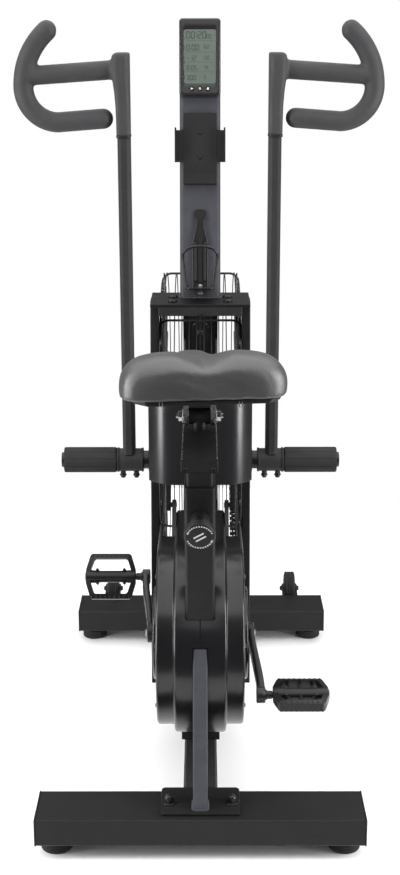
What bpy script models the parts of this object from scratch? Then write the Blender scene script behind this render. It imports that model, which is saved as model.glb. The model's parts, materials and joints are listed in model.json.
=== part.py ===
"""Air bike (fan-braked exercise bike), modelled in metres, +Z up, +Y towards the fan.

The origin is on the floor, at the middle of the bike's overall length and width. The rider
sits near -Y and faces +Y. Every object is one solid piece of the real machine.
"""

import math

import bmesh
import bpy
from mathutils import Vector

# ---------------------------------------------------------------- driving dimensions

GAP = 0.0003
SIDES = {"left": -1.0, "right": 1.0}

# floor frame
STABILIZER_LENGTH = 0.565
STABILIZER_DEPTH = 0.100
STABILIZER_BOTTOM = 0.030
STABILIZER_TOP = 0.080
REAR_STABILIZER_Y = -0.451
FRONT_STABILIZER_Y = 0.444
FOOT_X = 0.249
FOOT_RADIUS = 0.0275
BASE_TUBE_WIDTH = 0.060
TUBE_WALL = 0.002
WHEEL_X = 0.210
WHEEL_CENTRE = (0.535, 0.080)
WHEEL_RADIUS = 0.0395
WHEEL_WIDTH = 0.026

# drive
CRANK_AXIS = (-0.231, 0.305)
CRANK_LENGTH = 0.170
CRANK_ANGLE = math.radians(15.0)
CRANK_INNER = 0.0868
CRANK_THICKNESS = 0.0105
CRANK_SPLAY = 0.0128
CRANK_TIP = (0.0965, 0.1125)
CRANK_TIP_RADIUS = 0.0145
SPINDLE_RADIUS = 0.010
PEDAL_INNER = 0.125
PEDAL_WIDTH = 0.096
PEDAL_LENGTH = 0.088
PEDAL_THICKNESS = 0.020
PEDAL_TILT = {"left": math.radians(62.0), "right": math.radians(3.0)}
CHAIN_PITCH = 0.0127
CHAINRING_TEETH = 48
SPROCKET_TEETH = 15
CHAINRING_RADIUS = CHAIN_PITCH / (2.0 * math.sin(math.pi / CHAINRING_TEETH))
SPROCKET_RADIUS = CHAIN_PITCH / (2.0 * math.sin(math.pi / SPROCKET_TEETH))
CHAIN_X = 0.0625
CHAIN_WIDTH = 0.008
CHAIN_HALF_HEIGHT = 0.0045
ECCENTRIC_THROW = 0.019
ECCENTRIC_RADIUS = 0.036
STRAP_BORE = 0.037
STRAP_OUTER = 0.045

# fan
FAN_AXIS = (0.272, 0.567)
FAN_RADIUS = 0.285
FAN_BLADES = 10
BLADE_HALF_WIDTH = 0.035
GUARD_RADIUS = 0.3155
GUARD_HALF_WIDTH = 0.078
GUARD_WIRES = 20
GUARD_PHASE = math.radians(9.5)
WIRE = 0.004

# arms
PIVOT = (-0.076, 0.588)
ARM_X = 0.13275
ARM_WIDTH = 0.0225
ARM_DEPTH = 0.040
HUB_X = 0.1365
HUB_WIDTH = 0.031
ARM_TILT = math.radians(0.8)
ARM_TOP = 0.597
HUB_HEIGHT = 0.710
SLEEVE_INNER = 0.109
SLEEVE_OUTER = 0.154
SLEEVE_RADIUS = 0.0215
AXLE_RADIUS = 0.008
PEG_INNER = 0.157
PEG_OUTER = 0.2545
PEG_RADIUS = 0.025
GRIP_RADIUS = 0.0172
CROSSBAR_RADIUS = 0.018
LOWER_BAR_END = 0.012
LEVER_LENGTH = 0.090
LEVER_X = 0.060
ROD_X = 0.0495
ROD_THICKNESS = 0.008

# fan frame and mast
UPRIGHT_INNER = 0.0805
UPRIGHT_OUTER = 0.0968
CROSS_HEIGHT = 0.070
CROSS_Y = -0.034
UPRIGHT_BOTTOM = (-0.0368, 0.122)
UPRIGHT_TOP = (0.104, 0.8587)
BRIDGE_TOP = 0.865
BRIDGE_HALF = 0.095
MAST_WIDTH = 0.078
MAST_DEPTH = 0.040
MAST_FOOT = (0.104, BRIDGE_TOP + GAP)
MAST_LEAN = math.radians(10.8)
MAST_LENGTH = 0.446

# seat
SEAT_TUBE_TOP = (-0.434, 0.6619)
SEAT_TUBE_BOTTOM = (-0.3406, 0.335)
SEAT_TUBE_WIDTH = 0.050
POST_WIDTH = 0.044
PIN_DISTANCE = -0.059
SLIDER_REAR = -0.586
SLIDER_FRONT = -0.381
SLIDER_BOTTOM = 0.722
SLIDER_TOP = 0.742
SADDLE_BOLT = (-0.411, 0.764)
SADDLE_REAR = -0.561
SADDLE_LENGTH = 0.270
SADDLE_YAW = math.radians(6.5)
SADDLE_BOTTOM = 0.825

# housing
HUMP_RADIUS = 0.178
HUMP_HALF_WIDTH = 0.046
FLANK_RADIUS = 0.164
FLANK_HALF_WIDTH = 0.077
DISC_RADIUS = 0.084
DISC_HALF_WIDTH = 0.0848
SHELL_WALL = 0.003
HOUSING_FRONT = -0.050

# ---------------------------------------------------------------- materials

FINISHES = {
    "powder_black": ((0.040, 0.039, 0.040), 0.55, 0.0),
    "powder_grey": ((0.085, 0.085, 0.100), 0.50, 0.0),
    "gloss_shell": ((0.018, 0.018, 0.022), 0.25, 0.0),
    "matte_plastic": ((0.025, 0.025, 0.027), 0.60, 0.0),
    "foam_grip": ((0.055, 0.055, 0.058), 0.80, 0.0),
    "leatherette": ((0.075, 0.075, 0.080), 0.45, 0.0),
    "rubber": ((0.020, 0.020, 0.020), 0.80, 0.0),
    "bright_steel": ((0.550, 0.550, 0.540), 0.30, 1.0),
    "black_steel": ((0.030, 0.030, 0.032), 0.40, 0.6),
    "console_shell": ((0.015, 0.015, 0.017), 0.30, 0.0),
}


def make_material(name):
    colour, roughness, metallic = FINISHES[name]
    material = bpy.data.materials.get(name)
    if material is None:
        material = bpy.data.materials.new(name)
        material.use_nodes = True
        shader = material.node_tree.nodes["Principled BSDF"]
        shader.inputs["Base Color"].default_value = (*colour, 1.0)
        shader.inputs["Roughness"].default_value = roughness
        shader.inputs["Metallic"].default_value = metallic
    return material


# ---------------------------------------------------------------- outlines


def arc(centre, radius, start, end, steps):
    """Points on an arc about centre, from angle start to angle end, both included."""
    points = []
    for step in range(steps + 1):
        angle = start + (end - start) * step / steps
        points.append((centre[0] + radius * math.cos(angle), centre[1] + radius * math.sin(angle)))
    return points


def circle(centre, radius, sides, phase=0.0):
    return arc(centre, radius, phase, phase + math.tau * (sides - 1) / sides, sides - 1)


def rectangle(low, high):
    return [(low[0], low[1]), (high[0], low[1]), (high[0], high[1]), (low[0], high[1])]


def chamfered(width, depth, corner):
    """A width by depth rectangle about the origin with its corners cut off."""
    w = width / 2.0
    d = depth / 2.0
    return [
        (w, -d + corner), (w, d - corner), (w - corner, d), (-w + corner, d),
        (-w, d - corner), (-w, -d + corner), (-w + corner, -d), (w - corner, -d),
    ]


def capsule(start, start_radius, end, end_radius, steps=8):
    """The outline round two circles of different radii, joined by straight tangents."""
    run = Vector(end) - Vector(start)
    heading = math.atan2(run.y, run.x)
    spread = math.acos((start_radius - end_radius) / run.length)
    back = arc(start, start_radius, heading + spread, heading + math.tau - spread, steps)
    front = arc(end, end_radius, heading - spread, heading + spread, steps)
    return back + front


# ---------------------------------------------------------------- solids


def prism(outline, axis, low, high):
    """An outline extruded along a world axis, from low to high."""

    def place(point, level):
        if axis == "X":
            return (level, point[0], point[1])
        if axis == "Y":
            return (point[0], level, point[1])
        return (point[0], point[1], level)

    solid = bmesh.new()
    bottom = [solid.verts.new(place(point, low)) for point in outline]
    top = [solid.verts.new(place(point, high)) for point in outline]
    count = len(outline)
    solid.faces.new(bottom)
    solid.faces.new(top)
    for index in range(count):
        after = (index + 1) % count
        solid.faces.new((bottom[index], bottom[after], top[after], top[index]))
    bmesh.ops.recalc_face_normals(solid, faces=solid.faces)
    return solid


def ring_prism(outer, inner, axis, low, high):
    """The wall between two outlines with equally many points, extruded along an axis."""
    solid = bmesh.new()
    loops = []
    for outline in (outer, inner):
        for level in (low, high):
            loop = []
            for a, b in outline:
                place = {"X": (level, a, b), "Y": (a, level, b), "Z": (a, b, level)}[axis]
                loop.append(solid.verts.new(place))
            loops.append(loop)
    outer_low, outer_high, inner_low, inner_high = loops
    count = len(outer)
    for here in range(count):
        there = (here + 1) % count
        for first, second in (
            (outer_low, outer_high), (outer_high, inner_high),
            (inner_high, inner_low), (inner_low, outer_low),
        ):
            solid.faces.new((first[here], first[there], second[there], second[here]))
    bmesh.ops.recalc_face_normals(solid, faces=solid.faces)
    return solid


def round_bar(centre, radius, low, high, sides=24):
    """A round bar along X."""
    return prism(circle(centre, radius, sides), "X", low, high)


def round_ring(centre, radius, bore, low, high, sides=24):
    """A round sleeve along X."""
    return ring_prism(circle(centre, radius, sides), circle(centre, bore, sides), "X", low, high)


def turned(profile, centre, sides):
    """A closed upright turned solid: profile is (radius, height) from one pole to the other."""
    solid = bmesh.new()
    loops = []
    poles = []
    for radius, height in profile:
        ring = []
        steps = 1 if radius == 0.0 else sides
        for step in range(steps):
            angle = math.tau * step / sides
            x = centre[0] + radius * math.cos(angle)
            y = centre[1] + radius * math.sin(angle)
            ring.append(solid.verts.new((x, y, centre[2] + height)))
        loops.append(ring)
        poles.append(radius == 0.0)
    for level in range(len(loops) - 1):
        lower = loops[level]
        upper = loops[level + 1]
        for step in range(sides):
            after = (step + 1) % sides
            corners = [lower[0]] if poles[level] else [lower[step], lower[after]]
            corners += [upper[0]] if poles[level + 1] else [upper[after], upper[step]]
            solid.faces.new(corners)
    if not poles[0]:
        solid.faces.new(loops[0])
    if not poles[-1]:
        solid.faces.new(loops[-1])
    bmesh.ops.recalc_face_normals(solid, faces=solid.faces)
    return solid


def beam(start, end, section, bore=None, across=(1.0, 0.0, 0.0), start_cut=None, end_cut=None):
    """A straight bar or tube. section and bore are outlines across and along the depth."""
    start = Vector(start)
    end = Vector(end)
    along = (end - start).normalized()
    across = Vector(across)
    depth = along.cross(across).normalized()
    solid = bmesh.new()
    loops = []
    for outline in (section, bore):
        if outline is None:
            continue
        for base, cut in ((start, start_cut), (end, end_cut)):
            normal = Vector(cut) if cut else along
            loop = []
            for a, b in outline:
                offset = across * a + depth * b
                slide = -offset.dot(normal) / along.dot(normal)
                loop.append(solid.verts.new(base + offset + along * slide))
            loops.append(loop)
    count = len(section)
    if bore is None:
        low, high = loops
        solid.faces.new(low)
        solid.faces.new(high)
        pairs = ((low, high),)
    else:
        low, high, inner_low, inner_high = loops
        pairs = ((low, high), (high, inner_high), (inner_high, inner_low), (inner_low, low))
    for here in range(count):
        there = (here + 1) % count
        for first, second in pairs:
            solid.faces.new((first[here], first[there], second[there], second[here]))
    bmesh.ops.recalc_face_normals(solid, faces=solid.faces)
    return solid


def box_tube(start, end, width, depth, wall, corner, **cuts):
    """A rectangular steel tube with cut corners, open at both ends."""
    outer = chamfered(width, depth, corner)
    inner = chamfered(width - 2.0 * wall, depth - 2.0 * wall, max(corner - wall, 0.0006))
    return beam(start, end, outer, inner, **cuts)


def swept_bar(path, radius, sides, closed=False):
    """A round bar along a path of points."""
    points = [Vector(point) for point in path]
    count = len(points)
    solid = bmesh.new()
    rings = []
    normal = None
    for index, point in enumerate(points):
        before = points[(index - 1) % count] if closed or index else point
        after = points[(index + 1) % count] if closed or index < count - 1 else point
        heading = (after - before).normalized()
        if normal is None:
            normal = heading.orthogonal().normalized()
        normal = (normal - heading * normal.dot(heading)).normalized()
        side = heading.cross(normal)
        ring = []
        for step in range(sides):
            angle = math.tau * step / sides
            offset = normal * math.cos(angle) + side * math.sin(angle)
            ring.append(solid.verts.new(point + offset * radius))
        rings.append(ring)
    if not closed:
        solid.faces.new(rings[0])
        solid.faces.new(rings[-1])
    for index in range(count if closed else count - 1):
        lower = rings[index]
        upper = rings[(index + 1) % count]
        for step in range(sides):
            after = (step + 1) % sides
            solid.faces.new((lower[step], lower[after], upper[after], upper[step]))
    bmesh.ops.recalc_face_normals(solid, faces=solid.faces)
    return solid


def temporary(solid, name):
    mesh = bpy.data.meshes.new(name)
    solid.to_mesh(mesh)
    solid.free()
    item = bpy.data.objects.new(name, mesh)
    bpy.context.collection.objects.link(item)
    return item


def combine(base, tools, operation):
    """Join solids to base, or cut them from it, with exact Booleans."""
    body = temporary(base, "body")
    for tool_solid in tools:
        tool = temporary(tool_solid, "tool")
        modifier = body.modifiers.new("combine", "BOOLEAN")
        modifier.operation = operation
        modifier.solver = "EXACT"
        modifier.object = tool
        bpy.context.view_layer.update()
        graph = bpy.context.evaluated_depsgraph_get()
        result = bpy.data.meshes.new_from_object(body.evaluated_get(graph))
        body.modifiers.clear()
        body.data = result
        bpy.data.objects.remove(tool)
    solid = bmesh.new()
    solid.from_mesh(body.data)
    bpy.data.objects.remove(body)
    bmesh.ops.dissolve_limit(
        solid, angle_limit=0.0005, use_dissolve_boundaries=False, verts=solid.verts, edges=solid.edges
    )
    return solid


def union(base, *tools):
    return combine(base, tools, "UNION")


def cut(base, *tools):
    return combine(base, tools, "DIFFERENCE")


def publish(name, solid, finish, origin=(0.0, 0.0, 0.0)):
    """Turn a solid into the named object, with its origin at the given world point."""
    origin = Vector(origin)
    bmesh.ops.translate(solid, verts=solid.verts, vec=-origin)
    mesh = bpy.data.meshes.new(name)
    solid.to_mesh(mesh)
    solid.free()
    mesh.materials.append(make_material(finish))
    mesh.shade_smooth()
    mesh.set_sharp_from_angle(angle=math.radians(35.0))
    item = bpy.data.objects.new(name, mesh)
    item.location = origin
    bpy.context.collection.objects.link(item)
    return item


def at_axis(axis, x=0.0):
    """The world point at x on an axis given by its (y, z)."""
    return (x, axis[0], axis[1])


def mirrored(side, low, high):
    """The ordered X span of low..high on one side of the bike."""
    return (low, high) if side > 0 else (-high, -low)


# ---------------------------------------------------------------- floor frame


def stabilizer_tube(centre_y):
    half = STABILIZER_LENGTH / 2.0 - 0.003 - GAP
    middle = (STABILIZER_BOTTOM + STABILIZER_TOP) / 2.0
    height = STABILIZER_TOP - STABILIZER_BOTTOM
    return box_tube(
        (-half, centre_y, middle), (half, centre_y, middle), height, STABILIZER_DEPTH,
        TUBE_WALL, 0.003, across=(0.0, 0.0, 1.0),
    )


def wheel_ears():
    """Two pairs of ears with an axle stub between them, in front of the front tube."""
    face = FRONT_STABILIZER_Y + STABILIZER_DEPTH / 2.0
    outline = [
        (face - 0.001, 0.042), (WHEEL_CENTRE[0], 0.068), (WHEEL_CENTRE[0] + 0.010, 0.074),
        (WHEEL_CENTRE[0] + 0.010, 0.086), (WHEEL_CENTRE[0], 0.092), (face - 0.001, 0.0785),
    ]
    parts = []
    for side in SIDES.values():
        for inner in (-WHEEL_WIDTH / 2.0 - 0.0045, WHEEL_WIDTH / 2.0 + 0.0015):
            x = side * WHEEL_X + inner
            parts.append(prism(outline, "X", x, x + 0.003))
        span = WHEEL_WIDTH / 2.0 + 0.003
        parts.append(round_bar(WHEEL_CENTRE, 0.004, side * WHEEL_X - span, side * WHEEL_X + span, 12))
    return parts


def build_floor_frame():
    publish("rear_stabilizer", stabilizer_tube(REAR_STABILIZER_Y), "powder_black")
    front = union(stabilizer_tube(FRONT_STABILIZER_Y), *wheel_ears())
    publish("front_stabilizer", front, "powder_black")
    middle = (STABILIZER_BOTTOM + STABILIZER_TOP) / 2.0
    rear_end = REAR_STABILIZER_Y + STABILIZER_DEPTH / 2.0 + GAP
    front_end = FRONT_STABILIZER_Y - STABILIZER_DEPTH / 2.0 - GAP
    height = STABILIZER_TOP - STABILIZER_BOTTOM
    base = box_tube((0.0, rear_end, middle), (0.0, front_end, middle), BASE_TUBE_WIDTH, height, TUBE_WALL, 0.004)
    cross_level = STABILIZER_TOP + CROSS_HEIGHT / 2.0 - 0.0005
    reach = UPRIGHT_INNER - GAP
    cross = box_tube(
        (-reach, CROSS_Y, cross_level), (reach, CROSS_Y, cross_level), CROSS_HEIGHT, 0.040, TUBE_WALL, 0.002,
        across=(0.0, 0.0, 1.0),
    )
    publish("base_tube", union(base, cross), "powder_black")


def build_end_caps():
    half = STABILIZER_LENGTH / 2.0
    inset = TUBE_WALL + 0.0005
    for row, centre_y in (("rear", REAR_STABILIZER_Y), ("front", FRONT_STABILIZER_Y)):
        for name, side in SIDES.items():
            face = rectangle(
                (centre_y - STABILIZER_DEPTH / 2.0, STABILIZER_BOTTOM),
                (centre_y + STABILIZER_DEPTH / 2.0, STABILIZER_TOP),
            )
            plug = rectangle(
                (centre_y - STABILIZER_DEPTH / 2.0 + inset, STABILIZER_BOTTOM + inset),
                (centre_y + STABILIZER_DEPTH / 2.0 - inset, STABILIZER_TOP - inset),
            )
            cap = union(
                prism(face, "X", *mirrored(side, half - 0.003, half)),
                prism(plug, "X", *mirrored(side, half - 0.015, half - 0.002)),
            )
            publish(f"end_cap_{row}_{name}", cap, "matte_plastic")


def build_feet():
    profile = [
        (FOOT_RADIUS, 0.0), (FOOT_RADIUS, 0.011), (FOOT_RADIUS - 0.003, 0.015),
        (0.012, 0.019), (0.012, 0.025), (0.005, 0.025), (0.005, STABILIZER_BOTTOM - GAP),
    ]
    for row, centre_y in (("rear", REAR_STABILIZER_Y), ("front", FRONT_STABILIZER_Y)):
        for name, side in SIDES.items():
            centre = (side * FOOT_X, centre_y, 0.0)
            publish(f"foot_{row}_{name}", turned(profile, centre, 24), "rubber", centre)


def build_wheels():
    half = WHEEL_WIDTH / 2.0
    for name, side in SIDES.items():
        x = side * WHEEL_X
        outer = circle(WHEEL_CENTRE, WHEEL_RADIUS, 28)
        bore = circle(WHEEL_CENTRE, 0.0046, 28)
        wheel = ring_prism(outer, bore, "X", x - half, x + half)
        publish(f"transport_wheel_{name}", wheel, "rubber", at_axis(WHEEL_CENTRE, x))


# ---------------------------------------------------------------- drive and seat supports


def build_rear_brace():
    plate_bottom = STABILIZER_TOP + GAP
    plate_top = plate_bottom + 0.005
    plate = prism(rectangle((-0.068, -0.487), (0.068, -0.400)), "Z", plate_bottom, plate_top)
    foot = Vector((0.0, -0.4605, plate_bottom + 0.003))
    head = Vector((0.0, -0.3863, 0.345))
    strut = box_tube(foot, head, 0.025, 0.032, TUBE_WALL, 0.002, start_cut=(0.0, 0.0, 1.0))
    nuts = []
    for side in SIDES.values():
        hexagon = circle((side * 0.0545, REAR_STABILIZER_Y + 0.002), 0.0085, 6)
        nuts.append(prism(hexagon, "Z", plate_top - 0.001, plate_top + 0.009))
    publish("rear_brace", union(plate, strut, *nuts), "powder_grey")


def build_drive_mount():
    """Twin plates from the base tube to the bottom bracket and the seat tube's foot."""
    foot_bottom = STABILIZER_TOP + GAP
    foot_top = foot_bottom + 0.018
    foot = prism(rectangle((-0.0355, -0.218), (0.0355, -0.148)), "Z", foot_bottom, foot_top)
    start = foot_top - 0.001
    outline = [
        (-0.214, start), (-0.152, start), (-0.188, 0.280), (-0.192, 0.318), (-0.215, 0.345),
        (-0.330, 0.415), (-0.375, 0.362), (-0.362, 0.335), (-0.262, 0.280),
    ]
    low, high = 0.0253, 0.0303
    mount = union(
        prism(outline, "X", low, high),
        round_bar(CRANK_AXIS, 0.025, -high, high),
        prism(outline, "X", -high, -low),
        foot,
    )
    mount = cut(mount, round_bar(CRANK_AXIS, SPINDLE_RADIUS + 0.0005, -0.04, 0.04))
    publish("bottom_bracket_mount", mount, "powder_black")


def build_seat_tube():
    tube = box_tube(
        at_axis(SEAT_TUBE_BOTTOM), at_axis(SEAT_TUBE_TOP), SEAT_TUBE_WIDTH, SEAT_TUBE_WIDTH, 0.0025, 0.004
    )
    socket = square_to_seat_tube(0.0145, -0.001, 0.020, 20)
    publish("seat_tube", union(tube, socket), "powder_black")


# ---------------------------------------------------------------- fan frame and mast


def build_uprights():
    width = UPRIGHT_OUTER - UPRIGHT_INNER
    centre = (UPRIGHT_OUTER + UPRIGHT_INNER) / 2.0
    level = (0.0, 0.0, 1.0)
    for name, side in SIDES.items():
        x = side * centre
        post = box_tube(
            at_axis(UPRIGHT_BOTTOM, x), at_axis(UPRIGHT_TOP, x), width, 0.050, TUBE_WALL, 0.002,
            start_cut=level, end_cut=level,
        )
        arm_outline = [(PIVOT[0], 0.606), (0.036, 0.628), (0.022, 0.552), (PIVOT[0], 0.570)]
        arm = prism(arm_outline, "X", x - 0.005, x + 0.005)
        eye = round_bar(PIVOT, 0.0215, x - width / 2.0, x + width / 2.0)
        bore = round_bar(PIVOT, 0.0173, x - 0.02, x + 0.02)
        publish(f"upright_{name}", cut(union(post, arm, eye), bore), "powder_black")


def build_front_legs():
    foot_z = STABILIZER_TOP + GAP
    for name, side in SIDES.items():
        low, high = mirrored(side, 0.083, 0.091)
        blade = prism(capsule(FAN_AXIS, 0.022, (0.430, 0.092), 0.018), "X", low, high)
        shoe = prism(rectangle((0.405, foot_z), (0.475, foot_z + 0.006)), "X", *mirrored(side, 0.075, 0.099))
        trim = prism(rectangle((0.380, 0.050), (0.480, foot_z)), "X", *mirrored(side, 0.070, 0.110))
        leg = cut(union(blade, shoe), trim, round_bar(FAN_AXIS, 0.0065, low - 0.01, high + 0.01))
        publish(f"front_leg_{name}", leg, "powder_black")


def build_mast():
    plate = prism(rectangle((-BRIDGE_HALF, 0.019), (BRIDGE_HALF, 0.148)), "Z", BRIDGE_TOP - 0.006, BRIDGE_TOP)
    lip = prism(rectangle((-UPRIGHT_INNER + 0.001, 0.019), (UPRIGHT_INNER - 0.001, 0.024)), "Z",
                BRIDGE_TOP - 0.020, BRIDGE_TOP - 0.003)
    publish("mast_bridge", union(plate, lip), "powder_black")
    head = mast_point(MAST_LENGTH, -MAST_DEPTH / 2.0)
    mast = box_tube(
        at_axis(MAST_FOOT), at_axis(head), MAST_WIDTH, MAST_DEPTH, TUBE_WALL, 0.006, start_cut=(0.0, 0.0, 1.0)
    )
    publish("console_mast", mast, "powder_grey")


def mast_point(height, offset):
    """The (y, z) of a point up the mast, offset towards the rider from its rear face."""
    up = Vector((math.sin(MAST_LEAN), math.cos(MAST_LEAN)))
    back = Vector((-up.y, up.x))
    point = Vector(MAST_FOOT) + up * height + back * (MAST_DEPTH / 2.0 + offset)
    return (point.x, point.y)


def on_mast(low_x, high_x, heights, offsets):
    """A block in the mast's leaning frame."""
    corners = [(heights[0], offsets[0]), (heights[1], offsets[0]), (heights[1], offsets[1]), (heights[0], offsets[1])]
    return prism([mast_point(*corner) for corner in corners], "X", low_x, high_x)


def peg_on_mast(x, height, radius, low, high, sides=12):
    """A round peg standing out of the mast's rear side."""
    start = at_axis(mast_point(height, low), x)
    end = at_axis(mast_point(height, high), x)
    return beam(start, end, circle((0.0, 0.0), radius, sides))


CONSOLE_HEIGHTS = (0.3765, 0.5205)
CONSOLE_DEPTH = 0.026
BUTTON_HEIGHT = 0.3895
BUTTON_SPACING = 0.0150


def build_console():
    case = on_mast(-0.039, 0.039, CONSOLE_HEIGHTS, (GAP, CONSOLE_DEPTH))
    face = CONSOLE_DEPTH
    screen = on_mast(-0.029, 0.029, (0.3990, 0.4995), (face - 0.0015, face + 0.002))
    pockets = []
    for index in range(3):
        x = (index - 1) * BUTTON_SPACING
        pockets.append(peg_on_mast(x, BUTTON_HEIGHT, 0.0060, face - 0.005, face + 0.003))
    publish("console_case", cut(case, screen, *pockets), "console_shell")
    for index, name in enumerate(("left", "middle", "right")):
        x = (index - 1) * BUTTON_SPACING
        button = peg_on_mast(x, BUTTON_HEIGHT, 0.0055, face - 0.003, face + 0.0015)
        publish(f"console_button_{name}", button, "matte_plastic", at_axis(mast_point(BUTTON_HEIGHT, face), x))


def build_phone_holder():
    base = on_mast(-0.0315, 0.0315, (0.212, 0.347), (GAP, 0.008))
    wings = on_mast(-0.0485, 0.0485, (0.255, 0.315), (0.002, 0.0074))
    lip = on_mast(-0.0310, 0.0310, (0.2125, 0.2170), (0.006, 0.0295))
    stop = on_mast(-0.0313, 0.0313, (0.2123, 0.2320), (0.026, 0.030))
    ears = []
    for side in SIDES.values():
        ears.append(on_mast(*mirrored(side, 0.0452, 0.0482), (0.2555, 0.3180), (0.004, 0.024)))
    publish("phone_holder", union(base, wings, lip, stop, *ears), "matte_plastic")


def build_bottle_cage():
    """A wire hoop on a channel: the bottle stands between the hoop and the mast."""
    spine = on_mast(-0.006, 0.006, (0.012, 0.165), (GAP, 0.006))
    tongue = on_mast(-0.012, 0.012, (0.150, 0.165), (GAP, 0.006))
    shelf = on_mast(-0.030, 0.030, (0.012, 0.018), (GAP, 0.066))
    hoop = []
    for a, b in arc((0.0, 0.036), 0.034, math.radians(-25.0), math.radians(205.0), 14):
        hoop.append(at_axis(mast_point(0.104, b + 0.004), a))
    drop = at_axis(mast_point(0.015, 0.040), 0.026)
    path = [drop] + hoop + [(-drop[0], drop[1], drop[2])]
    publish("bottle_cage", union(spine, tongue, shelf, swept_bar(path, 0.003, 6)), "black_steel")


# ---------------------------------------------------------------- fan


def wire_panel(rings, spokes, x, phase):
    """A flat mesh of rings and spokes at x, to be turned into wires."""
    panel = bmesh.new()
    loops = []
    for radius in rings:
        outline = circle(FAN_AXIS, radius, spokes, phase)
        loops.append([panel.verts.new((x, a, b)) for a, b in outline])
    for inner, outer in zip(loops, loops[1:]):
        for here in range(spokes):
            there = (here + 1) % spokes
            panel.faces.new((inner[here], inner[there], outer[there], outer[here]))
    return panel


def wire_band(levels, spokes, phase):
    """A cylindrical mesh of rings joined by cross wires."""
    band = bmesh.new()
    outline = circle(FAN_AXIS, GUARD_RADIUS, spokes, phase)
    loops = []
    for x in levels:
        loops.append([band.verts.new((x, a, b)) for a, b in outline])
    for low, high in zip(loops, loops[1:]):
        for here in range(spokes):
            there = (here + 1) % spokes
            band.faces.new((low[here], low[there], high[there], high[here]))
    return band


def wired(mesh_solid):
    """Turn each edge of a mesh into a wire, as one joined body."""
    item = temporary(mesh_solid, "wires")
    modifier = item.modifiers.new("wires", "WIREFRAME")
    modifier.thickness = WIRE
    modifier.offset = 0.0
    modifier.use_even_offset = True
    modifier.use_boundary = True
    modifier.use_replace = True
    bpy.context.view_layer.update()
    graph = bpy.context.evaluated_depsgraph_get()
    result = bpy.data.meshes.new_from_object(item.evaluated_get(graph))
    solid = bmesh.new()
    solid.from_mesh(result)
    bpy.data.objects.remove(item)
    bmesh.ops.recalc_face_normals(solid, faces=solid.faces)
    return solid


def build_fan_guard():
    rings = (0.050, 0.130, 0.220, GUARD_RADIUS)
    for name, side in SIDES.items():
        panel = wire_panel(rings, GUARD_WIRES, side * GUARD_HALF_WIDTH, GUARD_PHASE)
        publish(f"fan_guard_{name}", wired(panel), "black_steel")
    edge = GUARD_HALF_WIDTH - WIRE - 0.0005
    band = wire_band((-edge, 0.0, edge), GUARD_WIRES, GUARD_PHASE)
    publish("fan_guard_rim", wired(band), "black_steel")


def build_fan():
    """Paddle blades on a hub, with the driven sprocket on the hub's right end."""
    outline = []
    hub = 0.055
    half_blade = 0.0012
    for blade in range(FAN_BLADES):
        angle = math.tau * blade / FAN_BLADES
        root = math.asin(half_blade / hub)
        tip = math.asin(half_blade / FAN_RADIUS)
        for radius, turn in ((hub, -root), (FAN_RADIUS, -tip), (FAN_RADIUS, tip), (hub, root)):
            direction = angle + turn
            outline.append((
                FAN_AXIS[0] + radius * math.cos(direction), FAN_AXIS[1] + radius * math.sin(direction)
            ))
        middle = angle + math.pi / FAN_BLADES
        outline.append((FAN_AXIS[0] + hub * math.cos(middle), FAN_AXIS[1] + hub * math.sin(middle)))
    blades = prism(outline, "X", -BLADE_HALF_WIDTH, BLADE_HALF_WIDTH)
    sleeve = round_bar(FAN_AXIS, 0.020, BLADE_HALF_WIDTH - 0.001, CHAIN_X)
    root_radius = SPROCKET_RADIUS - CHAIN_HALF_HEIGHT - GAP
    sprocket = round_bar(FAN_AXIS, root_radius, CHAIN_X - 0.003, CHAIN_X + 0.003, 30)
    rotor = cut(union(blades, sleeve, sprocket), round_bar(FAN_AXIS, 0.0065, -0.05, 0.08, 16))
    publish("fan_rotor", rotor, "black_steel", at_axis(FAN_AXIS))
    publish("fan_axle", round_bar(FAN_AXIS, 0.006, -0.097, 0.097, 16), "bright_steel")


# ---------------------------------------------------------------- drive


def build_chain():
    """The chain as one flat band round both sprockets."""
    run = Vector(FAN_AXIS) - Vector(CRANK_AXIS)
    heading = math.atan2(run.y, run.x)
    spread = math.acos((CHAINRING_RADIUS - SPROCKET_RADIUS) / run.length)
    loops = []
    for offset in (CHAIN_HALF_HEIGHT, -CHAIN_HALF_HEIGHT):
        big = arc(CRANK_AXIS, CHAINRING_RADIUS + offset, heading + spread, heading + math.tau - spread, 26)
        small = arc(FAN_AXIS, SPROCKET_RADIUS + offset, heading - spread, heading + spread, 10)
        loops.append(big + small)
    low = CHAIN_X - CHAIN_WIDTH / 2.0
    publish("drive_chain", ring_prism(loops[0], loops[1], "X", low, low + CHAIN_WIDTH), "black_steel")


def eccentric_centre(side):
    """The (y, z) of the eccentric that drives one arm, and the lever's end above it."""
    lever_end = lever_point(side)
    along = (Vector(CRANK_AXIS) - Vector(lever_end)).normalized()
    square = Vector((-along.y, along.x))
    lean = side * math.sin(ARM_TILT) * LEVER_LENGTH * along.x / ECCENTRIC_THROW
    share = side * math.sqrt(1.0 - lean * lean)
    centre = Vector(CRANK_AXIS) + ECCENTRIC_THROW * (along * lean + square * share)
    return (centre.x, centre.y), lever_end


def lever_point(side):
    """The lever hangs below the pivot and leans against its arm's tilt."""
    lean = side * ARM_TILT
    return (PIVOT[0] - LEVER_LENGTH * math.sin(lean), PIVOT[1] - LEVER_LENGTH * math.cos(lean))


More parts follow.
